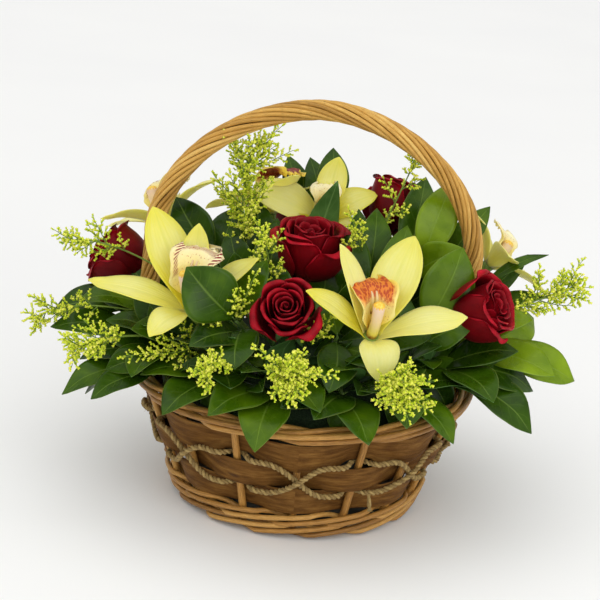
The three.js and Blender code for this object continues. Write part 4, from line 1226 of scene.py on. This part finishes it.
def addTwig(shape, base, toward, long, chance):  # side branches all along it, each with buds
    bend = anyWay(chance, 0.2) * 0.18

    def at(t):
        return base + (toward * t + bend * t * t) * long
    addRod(shape, pathOf(at, 5), lambda s: 0.5 - 0.28 * s, 5, 1)
    count = max(3, int(long / gold["apart"]))
    for i in range(count + 1):
        t = (i + 0.6) / (count + 0.6)
        along = (at(min(1, t + 0.05)) - at(t - 0.05)).normalized()
        swing = along.orthogonal().normalized()
        swing.rotate(Quaternion(along, i * 2.4 + chance.uniform(-0.4, 0.4)))
        off = (along * 0.8 + swing * (0.9 if i < count else 0.2)).normalized()
        branch = gold["branch"] * (1.15 - 0.75 * t) * chance.uniform(0.7, 1.15)
        start = at(t)
        addRod(shape, [start, start + off * branch], 0.24, 3, 1)
        buds = max(2, round(branch / 1.25))
        for b in range(buds):
            place = start + off * (branch * (b + 1) / buds)
            aim = (off + anyWay(chance, -0.6) * (0.75 if b < buds - 1 else 0.2)).normalized()
            addBud(shape, place + aim * 0.15, aim, chance.uniform(0.75, 1.15), chance.uniform(0.1, 0.9))


def addGoldenrod(shape, azimuth, elevation, reach, length, twigs, twigLength, rise, full, seed):
    chance = random.Random(seed)
    tip = foam["heart"] + direction(azimuth, elevation) * reach
    leave = direction(azimuth, max(elevation, 31) if rise is None else rise)
    arrive = (tip - foam["heart"] - leave * (reach * 0.8)).normalized()
    curve = stemCurve(tip, arrive, leave)
    addRod(shape, pathOf(curve, 20), lambda s: 1.1 - 0.6 * s, 7, 1)
    share = length / reach
    for part in range(full * twigs):
        i = part / full
        s = 1 - share * (i + 0.15) / twigs
        base = curve(s)
        along = (curve(min(1, s + 0.02)) - curve(s - 0.02)).normalized()
        swing = along.cross(skyward).normalized()
        swing.rotate(Quaternion(along, i * 2.4 + azimuth + (part % full) * 1.9))
        toward = (along * 0.75 + swing * 0.85).normalized()
        long = twigLength * (0.55 + 0.45 * sin(pi * (i + 0.8) / (twigs + 0.6)))
        addTwig(shape, base, toward, long * (0.8 if part % full else 1.05) * chance.uniform(0.75, 1.15),
                chance)
    addTwig(shape, curve(0.97), arrive, 0.3 * twigLength, chance)


goldenrods = {  # azimuth, elevation, reach, length, twigs, twig length, rise, twigs side by side
    "upper_left": (-100, 76, 192, 96, 11, 31, 58, 3),
    "left": (-84, 33, 208, 52, 5, 20, 48, 2),
    "far_left": (-82, 16, 205, 60, 6, 15, 40, 2),
    "low_left": (-61, 18, 190, 66, 7, 18, None, 2),
    "front_left": (-26, 24, 164, 36, 4, 15, 40, 3),
    "front": (-4, 26, 168, 52, 8, 26, None, 3),
    "front_right": (24, 23, 174, 56, 8, 24, None, 3),
    "centre_left": (-32, 64, 158, 56, 5, 13, None, 2),
    "upper_right": (104, 69, 194, 70, 6, 18, None, 1),
    "right": (84, 30, 218, 80, 9, 22, None, 2),
    "back": (150, 36, 186, 60, 7, 22, None, 2),
}
for number, (name, values) in enumerate(goldenrods.items()):
    shape = newShape()
    addGoldenrod(shape, *values, 80 + number)
    standFor("goldenrod_" + name, shape, [goldBud, goldStem])

between = [  # base and tip of the loose twigs tucked in between the leaves
    (-74, -72, 130, -100, -80, 138), (-82, -74, 130, -108, -82, 126), (-92, -76, 132, -122, -78, 124),
    (-70, -74, 128, -90, -88, 118), (-76, -72, 134, -88, -78, 146), (-58, -84, 160, -72, -96, 178),
    (-52, -84, 158, -52, -98, 180), (-56, -86, 152, -76, -98, 162), (-48, -86, 160, -44, -94, 194),
    (-2, -90, 150, 6, -106, 164), (6, -90, 150, 12, -102, 170), (22, -24, 196, 30, -34, 216),
    (34, -22, 196, 24, -30, 224),
]
chance = random.Random(96)
shape = newShape()
for ends in between:
    base = Vector(ends[:3])
    reach = Vector(ends[3:]) - base
    addTwig(shape, base, reach.normalized(), reach.length, chance)
makePiece("goldenrodBetween", shape, [goldBud, goldStem], [])
print("goldenrod set")


# floor, light and camera

studio = {"floorSize": 12, "room": 0.57, "sun": 1.6, "sunAngle": 100, "sunFrom": (-0.24, -0.5, 1.35),
          "fill": 8, "fillSize": 1.2, "fillFrom": (0.9, -1.4, 0.7), "lookAt": (0, 0, 0.12)}
view = {"distance": 1150, "elevation": 19, "pitch": 19.1, "azimuth": -1, "pan": 0.33, "roll": 4.8,
        "middle": 150, "focal": 1665, "width": 600, "sensor": 36}  # focal and width in picture points


def makeFloor():
    mesh = bpy.data.meshes.new("floor")
    wide, low = studio["floorSize"], -0.0002
    corners = [(-wide, -wide, low), (wide, -wide, low), (wide, wide, low), (-wide, wide, low)]
    mesh.from_pydata(corners, [], [(0, 1, 2, 3)])
    finish, tree, shader = startFinish("paleFloor", (0.9, 0.9, 0.89), 0.6, 0.1)
    faint = cloudy(inPlace(tree), 3, 2)
    paint(shader, shades(faint, [(0.3, (0.89, 0.89, 0.885)), (0.7, (0.91, 0.91, 0.9))]))
    mesh.materials.append(finish)
    floor = addObject("floor", mesh)


def makeLight(name, kind, place, energy, settings):
    light = bpy.data.lights.new(name, kind)
    light.energy = energy
    for key, value in settings.items():
        setattr(light, key, value)
    lamp = addObject(name, light)
    lamp.location = place
    lamp.rotation_euler = (Vector(studio["lookAt"]) - Vector(place)).to_track_quat("-Z", "Y").to_euler()


def makeCamera():
    azimuth = radians(view["azimuth"])
    distance = view["distance"] / 1000
    height = view["middle"] / 1000 + distance * tan(radians(view["elevation"]))
    place = Vector((distance * sin(azimuth), -distance * cos(azimuth), height))
    yaw = azimuth + radians(view["pan"])
    pitch, roll = radians(view["pitch"]), radians(view["roll"])
    ahead = Vector((-sin(yaw) * cos(pitch), cos(yaw) * cos(pitch), -sin(pitch)))
    right = Vector((cos(yaw), sin(yaw), 0))
    above = right.cross(ahead)
    flat, upright = right, above
    right, above = flat * cos(roll) + upright * sin(roll), upright * cos(roll) - flat * sin(roll)
    matrix = Matrix((right, above, -ahead)).transposed().to_4x4()
    matrix.translation = place
    data = bpy.data.cameras.new("camera")
    data.sensor_width = view["sensor"]
    data.lens = view["focal"] * view["sensor"] / view["width"]
    camera = addObject("camera", data)
    camera.matrix_world = matrix
    bpy.context.scene.camera = camera


makeFloor()
makeLight("window", "SUN", studio["sunFrom"], studio["sun"], {"angle": radians(studio["sunAngle"])})
makeLight("fill", "AREA", studio["fillFrom"], studio["fill"], {"shape": "DISK", "size": studio["fillSize"]})
world = bpy.data.worlds.new("paleRoom")
world.use_nodes = True
glow = world.node_tree.nodes["Background"]
glow.inputs[0].default_value = (1, 1, 0.99, 1)
glow.inputs[1].default_value = studio["room"]
bpy.context.scene.world = world
makeCamera()
